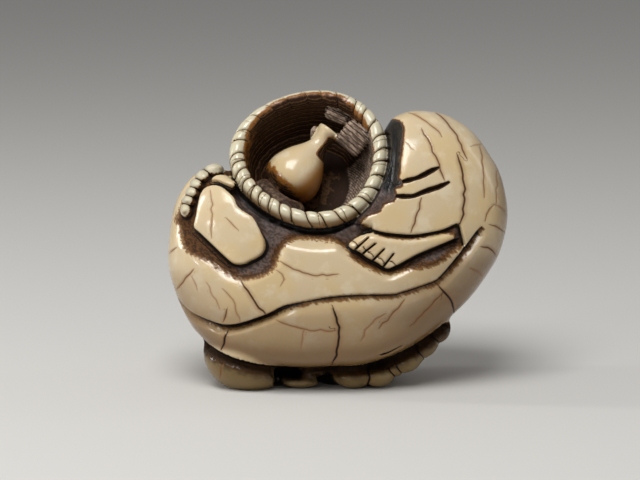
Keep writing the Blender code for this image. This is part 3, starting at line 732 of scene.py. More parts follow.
def line_layers(off, run, ends, by_sleeve, low, marks, at):
    """Painted shade: the dark line in the corner beside each layer's edge."""
    line = np.interp(run["sole"], *SOLE_LINE)
    note_line(marks, "cut", at, off["sole"] + line, line)
    lower_left = (run["sole"] > 0.22) & (run["sole"] < 0.44)
    note_line(marks, "cut", at, np.where(lower_left, off["sole"] + 0.66, FAR * FAR), 0.06)
    note_line(marks, "cut", at, np.where(off["sole"] < 0.0, off["instep"] + 0.07, FAR * FAR), 0.06)
    for name, widths in (("hem", HEM_LINE), ("hand", HAND_LINE)):
        line = np.interp(run[name], *widths)
        note_line(marks, "cut", at, between_ends(off[name] + line, ends[name]), line)
    line = np.interp(run["sleeve"], *SLEEVE_LINE)
    note_line(marks, "cut", at, np.where(by_sleeve, off["dome"] + line, FAR * FAR), line)
    # Painted shadow: a near black line in the gap under the robe's lower edge
    below_robe = (off["under"] < 0.1) & low
    note_line(marks, "cut", at, np.where(below_robe, off["under"] + 0.2, FAR * FAR), 0.2)


def cut_details(face, marks, at, deep):
    """The gaps between the fingers, the nails, a nick under the robe and the folds of the sleeve."""
    for line in FINGER_GAPS:
        distance, run, ends = beside(through(line), face, 1.6)
        deep[at] = np.maximum(deep[at], FINGER_DEPTH * (1.0 - ease(np.abs(distance) / 0.24)))
        note_line(marks, "cut", at, distance, np.interp(run, *FINGER_LINE))
    for line in NAILS:
        distance = beside(through(line), face, 1.6)[0]
        deep[at] = np.maximum(deep[at], NAIL_DEPTH * (1.0 - ease(np.abs(distance) / 0.16)))
        note_line(marks, "cut", at, distance, 0.05)
    distance, run, ends = beside(through(NICK), face, 1.0)
    deep[at] = np.maximum(deep[at], NICK_DEPTH * (1.0 - ease(np.abs(distance) / 0.22)) * ease(run / 0.1))
    note_line(marks, "cut", at, distance, np.interp(run, *NICK_LINE))
    for line in SLEEVE_FOLDS:
        distance, run, ends = beside(through(line), face, 2.0)
        half = np.interp(run, *FOLD_HALF_WIDTH)
        fold = FOLD_STEEPNESS * half * (1.0 - ease(np.abs(distance) / (1.25 * half)))
        deep[at] = np.maximum(deep[at], fold)
        marks["stain"][at] = np.maximum(marks["stain"][at], 4.0 * (half - np.abs(distance)) + 0.1)
        note_line(marks, "cut", at, np.abs(distance) - half + 0.04, 0.05)


def carve_front(places, normals, marks, at, deep):
    """The layers, folds, fingers and stained hollows of the face."""
    off, run, ends = face_edges(places[at], normals[at])
    by_sleeve = np.abs(off["sleeve"]) < np.abs(off["dome"]) + 0.01
    low = places[at, 2] < UNDERSIDE_TOP
    deep[at] = layer_depths(off, run, ends, by_sleeve, low)
    stain_face(off, run, ends, by_sleeve, places[at], marks, at)
    line_layers(off, run, ends, by_sleeve, low, marks, at)
    cut_details(places[at][:, [0, 2]], marks, at, deep)


def shade_underneath(places, marks):
    """The lumps below the robe's edge are olive brown, darker up against it: stain and painted shade."""
    under, run, ends = beside(through(UNDERSIDE_EDGE), places[:, [0, 2]])
    low = ease((UNDERSIDE_TOP + 1.0 - places[:, 2]) / 1.5) * ease(ends / 0.5)
    below = ease((0.1 - under) / 0.6) * low
    marks["shade"] = below * (0.4 + 0.6 * ease((2.9 + under) / 2.2))
    by_robe = (under < 0.0) & (low > 0.5)
    marks["stain"] = np.where(by_robe, np.maximum(marks["stain"], 1.4 + under), marks["stain"])


def from_lumps(places, shapes):
    """How far each place is from each lump's middle, in the lump's half sizes."""
    return [np.linalg.norm((places - middle) / half_sizes, axis=1) for middle, half_sizes in shapes]


def part_lumps(places, marks, deep, shapes, room):
    """Dark grooves between neighbouring lumps."""
    apart = from_lumps(places, shapes)
    for one, other in zip(apart, apart[1:]):
        at = np.flatnonzero(np.minimum(one, other) < room)
        distance = (one[at] - other[at]) * 0.5 + 0.03 * np.sin(3.0 * places[at, 2])
        deep[at] += GROOVE_DEPTH * (1.0 - ease(np.abs(distance) / 0.13))
        note_line(marks, "cut", at, distance, 0.035)


def spare_toes(places, marks, deep):
    """Leave the toes neither cut nor stained, but for the grooves between them."""
    nearest = np.minimum.reduce(from_lumps(places, TOES))
    deep *= ease((nearest - 1.05) / 0.25)
    toe = nearest < 1.12
    marks["cut near"][toe] = FAR
    marks["cut side"][toe] = FAR
    marks["stain"][toe] = -1.0
    marks["rope"][toe] = 1.0
    part_lumps(places, marks, deep, TOES, 1.3)


def crack_path(start, end, bow, dice):
    """A wandering crack from start to end."""
    start = np.array(start)
    end = np.array(end)
    way = end - start
    length = np.hypot(*way)
    left = np.array((-way[1], way[0])) / length
    pieces = max(3, int(length / 0.6))
    t = np.linspace(0.0, 1.0, pieces + 1)[:, None]
    wander = dice.normal(0.0, 0.09, (pieces + 1, 1))
    wander[[0, -1]] = 0.0
    return start + way * t + left * (bow * 4.0 * t * (1.0 - t) + wander)


def crack_face(places, marks, at, deep):
    """The age cracks of the face."""
    dice = np.random.default_rng(7)
    face = places[at][:, [0, 2]]
    for start, end, bow, dark in CRACKS:
        distance, run, ends = beside(crack_path(start, end, bow, dice), face, 1.6)
        distance = np.where(np.abs(distance) < 1.5, distance, FAR * FAR)
        half = (CRACK_WIDTH + 0.1 * dark ** 3) * (0.55 + 0.45 * ease(ends))
        deep[at] = deep[at] + CRACK_DEPTH * dark * (1.0 - ease(np.abs(distance) / 0.17))
        note_line(marks, "crack", at, distance, half, dark)


def carve_rope(places, marks, at, deep):
    """Twist the rim into rope: slanted cuts round it, close together at the left and wide at the right."""
    dice = np.random.default_rng(3)
    radius, height, angle = basket_view(places[at])
    tube = np.arctan2(height, radius - RIM_RADIUS)
    out = np.hypot((radius - RIM_RADIUS) / ROPE_WIDTH, height / ROPE_HEIGHT)
    on_rope = (out > 0.75) & (out < 1.12) & (height > -0.15)
    turned_to = np.degrees(angle)
    bold = np.interp(turned_to, *CUT_BOLDNESS)
    for slant, wide, depth in ((ROPE_TURN_SLANT, 1.0, 1.0), (ROPE_SCRATCH_SLANT, 0.4, 0.3)):
        spots = [-pi]
        while spots[-1] < pi - 0.12:
            spacing = np.interp(np.degrees(spots[-1]), *TURN_SPACING) * dice.uniform(0.8, 1.2) / RIM_RADIUS
            spots.append(spots[-1] + spacing * (1.0 if wide == 1.0 else dice.uniform(0.5, 1.9)))
        spots[-1] = pi
        spots = np.array(spots)
        wander = 0.06 * np.sin(3.0 * tube + 17.0 * angle)
        slanted = (angle + (slant * (tube / pi - 0.5) * 2.0 + wander) / RIM_RADIUS + pi) % tau - pi
        following = np.clip(np.searchsorted(spots, slanted), 1, len(spots) - 1)
        after = (slanted - spots[following - 1]) * RIM_RADIUS
        before = (spots[following] - slanted) * RIM_RADIUS
        distance = np.where(after < before, after, -before)
        off_middle = 2.0 * np.abs(np.abs(distance) / (after + before) - 0.5)
        swell = ROPE_SWELL * off_middle ** 2 * (0.35 + 0.65 * bold)
        deep[at] = np.where(on_rope & (wide == 1.0), swell, deep[at])
        groove = ROPE_CUT * depth * (1.0 - ease(np.abs(distance) / (ROPE_CUT * wide))) * (0.3 + 0.7 * bold)
        deep[at] = deep[at] + np.where(on_rope, groove, 0.0)
        note_line(marks, "cut", at, np.where(on_rope, distance, FAR * FAR), wide * (0.025 + 0.045 * bold))
    # Painted shadow: near black in the gap beneath the rope, strongest along the bottom
    beneath = np.interp(turned_to, *SHADOW_BELOW_ROPE)
    outside = ~on_rope & (radius > RIM_RADIUS + 0.3) & (height < 1.3) & (beneath > 0.05)
    gap = ease((1.1 + beneath - out) / 0.3) * outside
    marks["painted_shadow"][at] = np.maximum(marks["painted_shadow"][at], gap)
    marks["rope"][at] = np.where(on_rope, 1.0, 0.0)
    marks["stain"][at] = np.where(on_rope, -1.0, marks["stain"][at])


def mark_gourd(places, inside, marks, at):
    """The gourd's brown foot and neck, its amber right side, and the stained hollow round it."""
    off_gourd, along = gourd_view(places)
    on_gourd = (off_gourd < 0.25) & (inside > 0.0)
    from_bulb = places - np.array(BULB)
    to_foot = from_bulb @ np.array((-0.7, 0.0, -0.71))
    to_right = from_bulb @ np.array((0.72, 0.0, -0.69))
    right_of_neck = np.maximum(from_bulb @ np.array((0.78, 0.0, -0.61)) - 0.2, 0.0)
    by_neck = 3.0 * right_of_neck * (ease((along - 2.9) / 0.6) * ease((6.4 - along) / 0.5))
    gourd_stain = np.maximum.reduce([0.9 * (from_bulb[:, 1] - 0.9), 0.6 * (to_foot - 1.55), by_neck - 0.4])
    marks["hollow"][at] = np.where(on_gourd, gourd_stain, inside)
    marks["gourd"][at] = np.where(on_gourd, ease((to_right - 0.6) / 1.7), 0.0)
    return on_gourd, off_gourd


def mark_bundles(places, on_gourd, marks, at):
    """Where the ribbed bundles lie, with each place's way across their ribs."""
    ribbed = np.zeros(len(at))
    for middle, half_sizes, turn in BUNDLES:
        offset = places - middle
        along_ribs = offset[:, 0] * cos(turn) - offset[:, 2] * sin(turn)
        across_ribs = offset[:, 0] * sin(turn) + offset[:, 2] * cos(turn)
        block = np.maximum.reduce([np.abs(along_ribs) - half_sizes[0], np.abs(across_ribs) - half_sizes[2],
                                   np.abs(offset[:, 1]) - half_sizes[1]])
        mine = (block < 0.2) & (offset[:, 1] < 0.3 * half_sizes[1]) & ~on_gourd
        ribbed = np.where(mine, 1.0, ribbed)
        marks["rib"][at] = np.where(mine, across_ribs, marks["rib"][at])
    return ribbed


def carve_basket(places, marks, at, deep):
    """The stained inside, with its weave, and the woven outside behind the rim."""
    radius, height, angle = basket_view(places[at])
    turned_to = np.degrees(angle)
    stained_to = RIM_RADIUS + np.interp(turned_to, *STAIN_OVER_ROPE)
    inside = np.minimum.reduce([stained_to - radius, 2.6 - height, np.interp(height, *MID_WALL) - radius])
    on_gourd, off_gourd = mark_gourd(places[at], inside, marks, at)
    ribbed = mark_bundles(places[at], on_gourd, marks, at)
    # Painted light: the right-hand wall inside is made paler, along with the cane bundles' grey
    wall = ease((turned_to + 80) / 26) * ease((34 - turned_to) / 12)
    wall = wall * ease((radius - 4.6) / 0.9) * (inside > 0.1)
    on_panel = (wall > 0.2) & ~on_gourd & (ribbed < 0.5)
    slanting = 2.3 * (0.85 * height + 0.5 * radius * angle) + 20.0
    marks["rib"][at] = np.where(on_panel, slanting, marks["rib"][at])
    by_shelf = np.hypot(radius - SHELF_RADIUS, height - SHELF_HEIGHT)
    ledge = ease((1.6 - by_shelf) / 0.2) * ((turned_to < -96) & (turned_to > -170)) * ~on_gourd
    ledge = ledge * ease((off_gourd - 0.7) / 0.6)
    scroll = np.linalg.norm((places[at] - SCROLL[0]) / SCROLL[1], axis=1) < 1.2
    marks["grey"][at] = np.maximum.reduce([
        0.75 * wall, ribbed * ~on_gourd, 0.4 * ledge, 0.8 * (scroll & ~on_gourd)])
    in_basket = inside > -0.1
    marks["stain"][at] = np.where(in_basket, -1.0, marks["stain"][at])
    marks["cut near"][at] = np.where(in_basket & (height < -0.3), FAR, marks["cut near"][at])
    on_wall = (inside > 0.4) & (off_gourd > 0.4) & (ribbed < 0.5) & (ledge < 0.5)
    ripple = RIPPLE_DEPTH * np.sin(tau * height / RIPPLE_SPACING) * on_wall
    ripple = ripple + ribbed * RIB_DEPTH * np.cos(tau * marks["rib"][at] / RIB_SPACING)
    outside = (np.abs(radius - 9.7) < 0.4) & (height < -1.2) & (height > -8.0)
    plait = PLAIT_DEPTH * np.sin(tau * height / PLAIT_SPACING) * np.sin(angle * PLAITS_ROUND) * outside
    deep[at] = np.where(in_basket & (height < -0.2), ripple, deep[at]) + plait


def carve_back(places, normals, marks, at, deep):
    """The hem carried round the back, and the folds there."""
    face = places[at][:, [0, 2]]
    hem = through(HEM_BEHIND)
    distance, run, ends = beside(hem, face)
    distance = on_surface(distance, hem, face, normals[at])
    step = step_down(-distance, HEM_BEHIND_DEPTH, HEM_BEHIND_REACH, 0.25)
    deep[at] = np.maximum(deep[at], step * ease(ends / 1.5))
    stain = np.minimum(0.7 - distance, distance + 0.08)
    note_line(marks, "cut", at, between_ends(distance - 0.14, ends), 0.13)
    for line in FOLDS_BEHIND:
        distance, run, ends = beside(through(line), face, 4.0)
        fold = step_down(distance, FOLD_BEHIND_DEPTH, FOLD_BEHIND_REACH, 0.5)
        deep[at] = np.maximum(deep[at], fold * ease(ends / 3.0))
        stain = np.maximum(stain, np.minimum(0.3 * ease(ends / 2.0) + distance, 0.1 - distance))
        note_line(marks, "cut", at, between_ends(distance + 0.1, ends), 0.03 + 0.06 * ease(ends / 4.0))
    marks["stain"][at] = np.maximum(marks["stain"][at], stain)


def stain_cord_holes(places, marks):
    """Soot and wear round the cord holes and in them."""
    for mouth, radius in CORD_HOLES:
        way = (Vector(mouth) - CORD_TURN).normalized()
        offset = places - np.array(CORD_TURN)
        away = np.linalg.norm(np.cross(offset, np.array(way)), axis=1)
        ring = np.where(offset @ np.array(way) > 0.0, radius + 0.3 - away, -1.0)
        marks["stain"] = np.maximum(marks["stain"], ring)


def neighbours(mesh):
    """The two ends of every edge of a mesh."""
    pairs = np.empty(len(mesh.edges) * 2, dtype=np.int32)
    mesh.edges.foreach_get("vertices", pairs)
    return pairs.reshape(-1, 2)


def averaged(values, pairs, passes):
    """Values spread over a mesh: each place takes its neighbours' mean, pass after pass."""
    count = len(values)
    links = np.bincount(pairs.ravel(), minlength=count)
    for one_pass in range(passes):
        columns = []
        for column in values.T:
            total = np.bincount(pairs[:, 0], weights=column[pairs[:, 1]], minlength=count)
            total += np.bincount(pairs[:, 1], weights=column[pairs[:, 0]], minlength=count)
            columns.append(0.5 * column + 0.5 * total / links)
        values = np.column_stack(columns)
    return values


def carve(thing):
    """Cut every layer and line square to the surface, and mark where stain, painted shade and painted light
    lie.
    """
    places = read_places(thing)
    normals = read_places(thing, "normal")
    marks = {name: np.zeros(len(places)) for name in MARKS}
    pairs = neighbours(thing.data)
    square = averaged(normals, pairs, 12)
    square[:, 1] -= 1.2 * ease(-square[:, 1] / 0.5)
    square /= np.linalg.norm(square, axis=1)[:, None]
    for name in ("cut near", "cut side", "crack near", "crack side"):
        marks[name][:] = FAR
    marks["stain"][:] = -1.0
    marks["hollow"][:] = -FAR
    front = np.flatnonzero((places[:, 1] < 3.5) & (normals[:, 1] < 0.0))
    back = np.flatnonzero((places[:, 1] > 0.0) & (normals[:, 1] >= 0.0))
    radius, height = basket_view(places)[:2]
    within = (radius < BASKET_WIDEST) & (height < BASKET_HIGHEST) & (height > BASKET_LOWEST)
    by_basket = np.flatnonzero(within)
    deep = np.zeros(len(places))
    carve_front(places, normals, marks, front, deep)
    shade_underneath(places, marks)
    spare_toes(places, marks, deep)
    deep[front] *= ease((-normals[front, 1] - 0.05) / 0.2) * ease((3.5 - places[front, 1]) / 2.0)
    crack_face(places, marks, front, deep)
    deep *= ease((np.hypot(radius - RIM_RADIUS, height) - ROPE_WIDTH) / 0.4)
    part_lumps(places, marks, deep, KNOBS, 1.15)
    carve_rope(places, marks, by_basket, deep)
    carve_basket(places, marks, by_basket, deep)
    carve_back(places, normals, marks, back, deep)
    stain_cord_holes(places, marks)
    deep[back] *= ease((normals[back, 1] - 0.05) / 0.2) * ease((places[back, 1] - 0.5) / 2.0)
    # Painted shade: darker brown on faces turned down, and less on faces turned right
    turned_down = ease((0.02 - normals[:, 2]) / 0.6)
    turned_right = ease((normals[:, 0] - 0.6) / 0.4)
    marks["painted_turn_shade"] = np.maximum(turned_down, 0.7 * turned_right)
    places = places - square * deep[:, None]
    write_places(thing, places)
    # How hollow the surface is, for painted shade in its creases
    marks["cavity"] = ((averaged(places, pairs, 16) - places) * read_places(thing, "normal")).sum(axis=1)
    for name, values in marks.items():
        layer = thing.data.attributes.new(name, 'FLOAT', 'POINT')
        layer.data.foreach_set("value", values.astype(np.float32))


def thin_out(thing):
    """Fewer triangles where the surface is plain, and more of them kept on the face than behind."""
    thing.data.calc_loop_triangles()
    places = read_places(thing)
    group = thing.vertex_groups.new(name="plain")
    behind = places[:, 1] > 2.5
    group.add(np.flatnonzero(behind).tolist(), 1.0, 'REPLACE')
    group.add(np.flatnonzero(~behind).tolist(), 0.5, 'REPLACE')
    fewer = thing.modifiers.new("Thin out", 'DECIMATE')
    fewer.ratio = min(1.0, TRIANGLES / len(thing.data.loop_triangles))
    fewer.vertex_group = group.name
    fewer.vertex_group_factor = 0.001
    fewer.use_collapse_triangulate = True
    settle(thing)
    thing.vertex_groups.clear()


def stand(thing):
    """Lean the carving back with the middle of its box over the origin, and wear flat what it rests on."""
    thing.data.transform(Matrix.Rotation(-LEAN, 4, 'X'))
    places = read_places(thing)
    x, y = (places.min(0) + places.max(0))[:2] / 2
    middle = (cad_box[0] + cad_box[1]) / (2 * MM)
    ground = (Matrix.Rotation(-LEAN, 4, 'X') @ STANDS_ON).z
    shift = Matrix.Translation((middle.x - x, middle.y - y, -ground))
    thing.data.transform(shift)
    places = read_places(thing)
    places[:, 2] = np.maximum(places[:, 2], 0.0)
    write_places(thing, places * MM)
    return Matrix.Scale(MM, 4) @ shift @ Matrix.Rotation(-LEAN, 4, 'X')


def carving():
    """The whole netsuke in one skin, and the matrix that takes its layout to the place where it stands."""
    solids = bpy.data.collections.new("netsuke carving")
    tools = bpy.data.collections.new("carving tools")
    for collection in (solids, tools):
        bpy.context.scene.collection.children.link(collection)
    netsuke = robe(solids)
    slope_to_basket(netsuke)
    base = [lumps(tools, "knobs", KNOBS + BETWEEN_KNOBS + UNDERSIDE), lobe(tools)]
    merge(netsuke, [lumps(tools, "hunched back", [HUNCH])] + base, ROUGH_GRAIN)
    cut_away(netsuke, basket_part(tools, "basket seat", BASKET_SEAT))
    soften(netsuke, 3)
    merge(netsuke, [basket_part(tools, "basket", BASKET_SIDE)], ROUGH_GRAIN)
    cut_away(netsuke, basket_part(tools, "basket hollow", BASKET_HOLLOW))
    cut_away(netsuke, cord_holes(tools))
    soften(netsuke, 2)
    gourd = turned(tools, "gourd", through(GOURD), 64, BULB, MOUTH - BULB)
    merge(netsuke, [rope_ring(tools), lumps(tools, "toes", TOES), gourd, shelf(tools), bundles(tools)],
          FINE_GRAIN)
    soften(netsuke, 4)
    carve(netsuke)
    thin_out(netsuke)
    place = stand(netsuke)
    for tool in list(tools.objects):
        bpy.data.objects.remove(tool)
    netsuke.name = "netsuke_carving"
    netsuke.data.shade_smooth()
    return netsuke, place


def linear(colour):
    """An sRGB hex colour as linear RGBA."""
    parts = [int(colour[i:i + 2], 16) / 255.0 for i in (1, 3, 5)]
    return [part / 12.92 if part <= 0.04045 else ((part + 0.055) / 1.055) ** 2.4 for part in parts] + [1.0]


def add(tree, kind, inputs, **settings):
    """A node with its settings, and its inputs set to values or linked to sockets."""
    made = tree.nodes.new(kind)
    for name, value in settings.items():
        setattr(made, name, value)
    for name, value in inputs.items():
        if isinstance(value, bpy.types.NodeSocket):
            tree.links.new(value, made.inputs[name])
        else:
            made.inputs[name].default_value = value
    return made


def old_ivory(place):
    """Old elephant ivory, cut by hand, stained and polished by years of wear: cream to honey on the
    high places, a ragged purple-brown stain in the cut-back places and painted shade, near black, in the
    cuts."""
    material = bpy.data.materials.new("old ivory, stained and hand polished")
    material.use_nodes = True
    tree = material.node_tree
    surface = tree.nodes["Principled BSDF"]
    spot = add(tree, "ShaderNodeTexCoord", {}).outputs["Object"]
    marks = {}
    for name in MARKS:
        marks[name] = add(tree, "ShaderNodeAttribute", {}, attribute_name=name).outputs["Fac"]
    grains = {}
    for name, size, detail in (
            ("cloud", 7.0, 2.0), ("bloom", 2.4, 5.0), ("mottle", 1.1, 4.0), ("fleck", 0.32, 3.0)):
        grains[name] = add(tree, "ShaderNodeTexNoise", {
            "Vector": spot, "Scale": 1.0 / (size * MM), "Detail": detail, "Roughness": 0.6}).outputs["Fac"]

    scratch_way = add(tree, "ShaderNodeMapping", {
        "Vector": spot, "Rotation": (0.0, SCRATCH_SLANT, 0.0), "Scale": (4.5, 1.0, 1.0),
    }, vector_type='TEXTURE').outputs[0]
    grains["streak"] = add(tree, "ShaderNodeTexNoise", {
        "Vector": scratch_way, "Scale": 1.0 / (0.3 * MM), "Detail": 3.0, "Roughness": 0.6}).outputs["Fac"]

    def ragged(value, start, end, grain, wobble):
        """0 to 1 as a value passes from start to end, its border shaken by a grain."""
        shaken = add(tree, "ShaderNodeMath", {
            0: grains[grain], 1: wobble, 2: value}, operation='MULTIPLY_ADD').outputs[0]
        return add(tree, "ShaderNodeMapRange", {
            "Value": shaken, "From Min": start + wobble / 2, "From Max": end + wobble / 2,
        }, interpolation_type='SMOOTHSTEP').outputs[0]

    def line_mark(kind, soft, limit):
        """1 along the marked lines of one kind, sharp across them."""
        off = add(tree, "ShaderNodeMath", {0: marks[kind + " side"]}, operation='ABSOLUTE').outputs[0]
        sharp = add(tree, "ShaderNodeMapRange", {
            "Value": off, "From Min": 1.0 + soft, "From Max": 1.0 - soft,
        }, interpolation_type='SMOOTHSTEP').outputs[0]
        close = add(tree, "ShaderNodeMapRange", {
            "Value": marks[kind + " near"], "From Min": limit + 1.0, "From Max": limit}).outputs[0]
        return add(tree, "ShaderNodeMath", {0: sharp, 1: close}, operation='MULTIPLY').outputs[0]

    cloud = ragged(grains["cloud"], 0.4, 0.62, "mottle", 0.08)
    bloom = ragged(grains["bloom"], 0.5, 0.68, "mottle", 0.1)
    stain_edge = ragged(marks["stain"], -0.15, 0.15, "streak", 1.3)
    stain_middle = ragged(marks["stain"], 0.1, 0.5, "streak", 1.3)
    stain_heart = ragged(marks["stain"], 0.5, 1.3, "mottle", 1.8)
    hollow_edge = ragged(marks["hollow"], -0.1, 0.15, "mottle", 0.9)
    hollow_heart = ragged(marks["hollow"], 0.15, 0.7, "mottle", 1.3)
    # Painted shade: dark brown in the creases, where the surface is hollow
    crevice_shade = ragged(marks["cavity"], 0.05, 0.13, "fleck", 0.05)
    # The grey of the cane bundles, shelf and scroll, and painted light that makes the right-hand wall paler
    grey = ragged(marks["grey"], 0.3, 0.7, "mottle", 0.5)
    # Painted shade: near black along the cut lines, in grooves and corners
    cut = line_mark("cut", 0.35, 2.3)
    beside_cut = add(tree, "ShaderNodeMapRange", {
        "Value": marks["cut near"], "From Min": 5.0, "From Max": 1.0, "To Max": 0.55}).outputs[0]
    crack = line_mark("crack", 0.7, 6.0)
    crack_halo = add(tree, "ShaderNodeMapRange", {
        "Value": marks["crack near"], "From Min": 5.0, "From Max": 0.5, "To Max": 0.55}).outputs[0]
    crack_fade = add(tree, "ShaderNodeMapRange", {
        "Value": marks["crack dark"], "From Min": 0.0, "From Max": 0.8, "To Min": 0.3}).outputs[0]
    crack_tone = add(tree, "ShaderNodeMapRange", {
        "Value": marks["crack dark"], "From Min": 0.55, "From Max": 1.0}).outputs[0]
    crack = add(tree, "ShaderNodeMath", {0: crack, 1: crack_fade}, operation='MULTIPLY').outputs[0]
    crack_halo = add(tree, "ShaderNodeMath", {
        0: crack_halo, 1: crack_fade}, operation='MULTIPLY').outputs[0]

    rim = place @ RIM_MIDDLE
    mouth_way = (place.to_3x3() @ MOUTH_WAY).normalized()
    from_rim = add(tree, "ShaderNodeVectorMath", {0: spot, 1: rim}, operation='SUBTRACT').outputs[0]
    depth = add(tree, "ShaderNodeVectorMath", {
        0: from_rim, 1: mouth_way}, operation='DOT_PRODUCT').outputs["Value"]
    rounds = add(tree, "ShaderNodeMath", {
        0: depth, 1: tau / (WEAVE_SPACING * MM)}, operation='MULTIPLY').outputs[0]
    rounds = add(tree, "ShaderNodeMath", {
        0: grains["mottle"], 1: 9.0, 2: rounds}, operation='MULTIPLY_ADD').outputs[0]
    rounds = add(tree, "ShaderNodeMath", {0: rounds}, operation='SINE').outputs[0]
    woven = ragged(rounds, 0.0, 1.4, "fleck", 2.4)
    ribs = add(tree, "ShaderNodeMath", {
        0: grains["mottle"], 1: 0.35, 2: marks["rib"]}, operation='MULTIPLY_ADD').outputs[0]
    ribs = add(tree, "ShaderNodeMath", {0: ribs, 1: tau / RIB_SPACING}, operation='MULTIPLY').outputs[0]
    ribs = add(tree, "ShaderNodeMath", {0: ribs}, operation='COSINE').outputs[0]
    ribs = add(tree, "ShaderNodeMapRange", {"Value": ribs, "From Min": 0.25, "From Max": 1.1}).outputs[0]
    plain = add(tree, "ShaderNodeMath", {
        0: marks["rib"], 1: 0.0, 2: 0.0001}, operation='COMPARE').outputs[0]
    ribs = add(tree, "ShaderNodeMath", {0: ribs, 1: plain}, operation='SUBTRACT', use_clamp=True).outputs[0]

    slate = add(tree, "ShaderNodeMath", {
        0: stain_heart, 1: marks["slate"]}, operation='MULTIPLY').outputs[0]
    facet = add(tree, "ShaderNodeMapRange", {"Value": slate, "From Min": 0.6, "From Max": 0.95}).outputs[0]
    # Painted shade with stain: olive brown on the lumps under the robe, dark brown up against it
    olive_shade = add(tree, "ShaderNodeMapRange", {
        "Value": marks["shade"], "From Max": 0.4, "To Max": 0.85}).outputs[0]
    dusk_shade = ragged(marks["shade"], 0.45, 0.95, "mottle", 0.45)
    scratched = ragged(grains["streak"], 0.4, 0.62, "fleck", 0.3)
    brown_stain_and_shade = add(tree, "ShaderNodeMath", {0: stain_middle, 1: olive_shade}, operation='MULTIPLY').outputs[0]

    # Finishes of two colours, and masks made stronger or weaker
    tones = {}
    for name, grain, shade, other in (
            ("stain", scratched, "#352110", "#59391b"), ("slate", scratched, "#33261f", "#594944"),
            ("facet", scratched, "#0d0b0a", "#1a1716"), ("underside", scratched, "#1c1007", "#38240f"),
            ("hollow", woven, "#2a180b", "#5c4229"), ("cane_and_lit_wall", scratched, "#675649", "#a6917f"),
            ("crack", crack_tone, "#835632", "#24120a")):
        tones[name] = add(tree, "ShaderNodeMix", {
            0: grain, 6: linear(shade), 7: linear(other)}, data_type='RGBA').outputs[2]
    # The turn mark is painted shade, darker brown on faces turned down and right
    strength = {}
    for name, mask, share in (
            ("cloud", cloud, 0.55), ("bloom", bloom, 0.4), ("rope", marks["rope"], 0.7),
            ("painted_turn_shade", marks["painted_turn_shade"], 0.92), ("gourd", marks["gourd"], 0.9), ("slate", slate, 1.7),
            ("underside", brown_stain_and_shade, 0.9)):
        strength[name] = add(tree, "ShaderNodeMath", {
            0: mask, 1: share}, operation='MULTIPLY', use_clamp=True).outputs[0]

    # Each finish lies over those before it
    colour = linear("#cbb795")
    for mask, shade in (
            (strength["cloud"], linear("#cdb27f")), (strength["bloom"], linear("#dcd1b8")),
            (strength["rope"], linear("#c4c1aa")), (strength["painted_turn_shade"], linear("#775730")),
            (olive_shade, linear("#7d6840")), (strength["gourd"], linear("#94601f")),
            (beside_cut, linear("#94703f")), (stain_edge, linear("#805a2c")),
            (stain_middle, tones["stain"]), (strength["slate"], tones["slate"]),
            (facet, tones["facet"]), (dusk_shade, linear("#3a2610")),
            (strength["underside"], tones["underside"]), (hollow_edge, linear("#8a5720")),
            (hollow_heart, tones["hollow"]), (grey, tones["cane_and_lit_wall"]), (ribs, linear("#1d120d")),
            (crevice_shade, linear("#20140c")), (crack_halo, linear("#8a5c2e")), (crack, tones["crack"]),
            # Painted shadow under the rope and behind the bars, then the painted shade of the cut lines
            (marks["painted_shadow"], linear("#120b06")), (cut, linear("#100904"))):
        colour = add(tree, "ShaderNodeMix", {0: mask, 6: colour, 7: shade}, data_type='RGBA').outputs[2]
    tree.links.new(colour, surface.inputs["Base Color"])

    # The stained places, the cracks and the painted shade of the cuts and underside are dull;
    # the slate grey facet is polished
    dirt = add(tree, "ShaderNodeMath", {0: stain_middle, 1: hollow_heart}, operation='MAXIMUM').outputs[0]
    dull = add(tree, "ShaderNodeMapRange", {"Value": dirt, "To Min": 0.2, "To Max": 0.45}).outputs[0]
    brown = add(tree, "ShaderNodeMath", {
        0: stain_middle, 1: slate}, operation='SUBTRACT', use_clamp=True).outputs[0]
    dark_and_dull = cut
    for dark in (crack, hollow_heart, brown_stain_and_shade, brown):
        dark_and_dull = add(tree, "ShaderNodeMath", {0: dark_and_dull, 1: dark}, operation='MAXIMUM').outputs[0]
    matt = add(tree, "ShaderNodeMath", {
        0: olive_shade, 1: 0.75, 2: dark_and_dull}, operation='MULTIPLY_ADD', use_clamp=True).outputs[0]
    matt = add(tree, "ShaderNodeMath", {
        0: facet, 1: 0.6, 2: matt}, operation='MULTIPLY_ADD', use_clamp=True).outputs[0]
    dull = add(tree, "ShaderNodeMath", {0: dark_and_dull, 1: 0.25, 2: dull}, operation='MULTIPLY_ADD').outputs[0]
    dull = add(tree, "ShaderNodeMath", {0: facet, 1: -0.2, 2: dull}, operation='MULTIPLY_ADD').outputs[0]
    tree.links.new(dull, surface.inputs["Roughness"])
    gloss = add(tree, "ShaderNodeMapRange", {"Value": matt, "To Min": 0.5, "To Max": 0.12}).outputs[0]
    tree.links.new(gloss, surface.inputs["Specular IOR Level"])
    surface.inputs["IOR"].default_value = 1.54
    surface.inputs["Subsurface Weight"].default_value = 0.12
    surface.inputs["Subsurface Radius"].default_value = (1.0, 0.6, 0.3)
    surface.inputs["Subsurface Scale"].default_value = 1.2 * MM
    scored = add(tree, "ShaderNodeMath", {0: grains["streak"], 1: dirt}, operation='MULTIPLY').outputs[0]
    scored = add(tree, "ShaderNodeBump", {
        "Height": scored, "Strength": 0.7, "Distance": 0.08 * MM}).outputs[0]
    bump = add(tree, "ShaderNodeBump", {
        "Height": grains["fleck"], "Strength": 0.25, "Distance": 0.03 * MM, "Normal": scored}).outputs[0]
    tree.links.new(bump, surface.inputs["Normal"])
    return material


def plain_paper(name, colour):
    """Matt card for the floor."""
    material = bpy.data.materials.new(name)
    material.use_nodes = True
    surface = material.node_tree.nodes["Principled BSDF"]
    surface.inputs["Base Color"].default_value = linear(colour)
    surface.inputs["Roughness"].default_value = 0.8
    return material


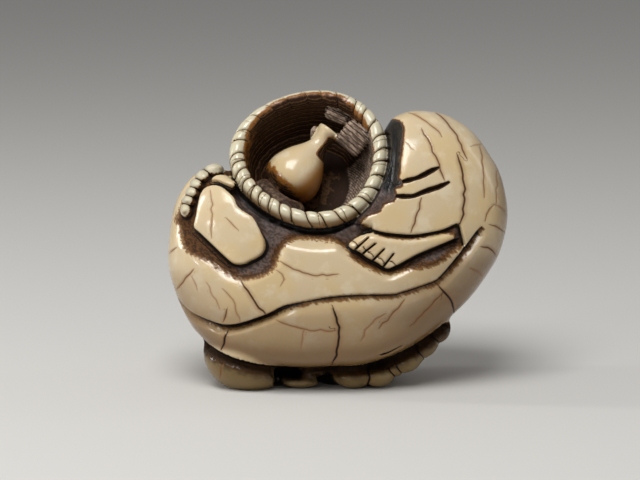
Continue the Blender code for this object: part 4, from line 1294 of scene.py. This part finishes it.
def studio(place):
    """A pale floor, soft lamps and a long lens square to the carved face."""
    bm = bmesh.new()
    bmesh.ops.create_grid(bm, x_segments=1, y_segments=1, size=1.5)
    floor = put_in(bpy.context.scene.collection, "floor", bm)
    floor.data.materials.append(plain_paper("matt card", "#cbc9c5"))

    target = place @ VIEW_MIDDLE
    lens = bpy.data.cameras.new("long lens")
    lens.lens = LENS
    lens.sensor_width = FILM_WIDTH
    camera = bpy.data.objects.new("camera", lens)
    bpy.context.scene.collection.objects.link(camera)
    away = Vector((0.0, -cos(LEAN), sin(LEAN)))
    camera.location = target + away * VIEW_WIDTH * LENS / FILM_WIDTH
    camera.rotation_euler = away.to_track_quat('Z', 'Y').to_euler()
    bpy.context.scene.camera = camera

    for name, spot, size, power in LAMPS:
        light = bpy.data.lights.new(name, 'AREA')
        light.shape = 'RECTANGLE'
        light.size, light.size_y = size
        light.energy = power
        lamp = bpy.data.objects.new(name, light)
        lamp.location = spot
        lamp.rotation_euler = (Vector(spot) - target).to_track_quat('Z', 'Y').to_euler()
        bpy.context.scene.collection.objects.link(lamp)
    world = bpy.data.worlds.new("studio")
    world.use_nodes = True
    world.node_tree.nodes["Background"].inputs["Color"].default_value = (1.0, 1.0, 1.0, 1.0)
    world.node_tree.nodes["Background"].inputs["Strength"].default_value = ROOM_LIGHT
    bpy.context.scene.world = world
    bpy.context.scene.view_settings.view_transform = 'Standard'


netsuke, place = carving()
netsuke.data.materials.clear()
netsuke.data.materials.append(old_ivory(place))
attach(netsuke, "root")
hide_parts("netsuke")
studio(place)
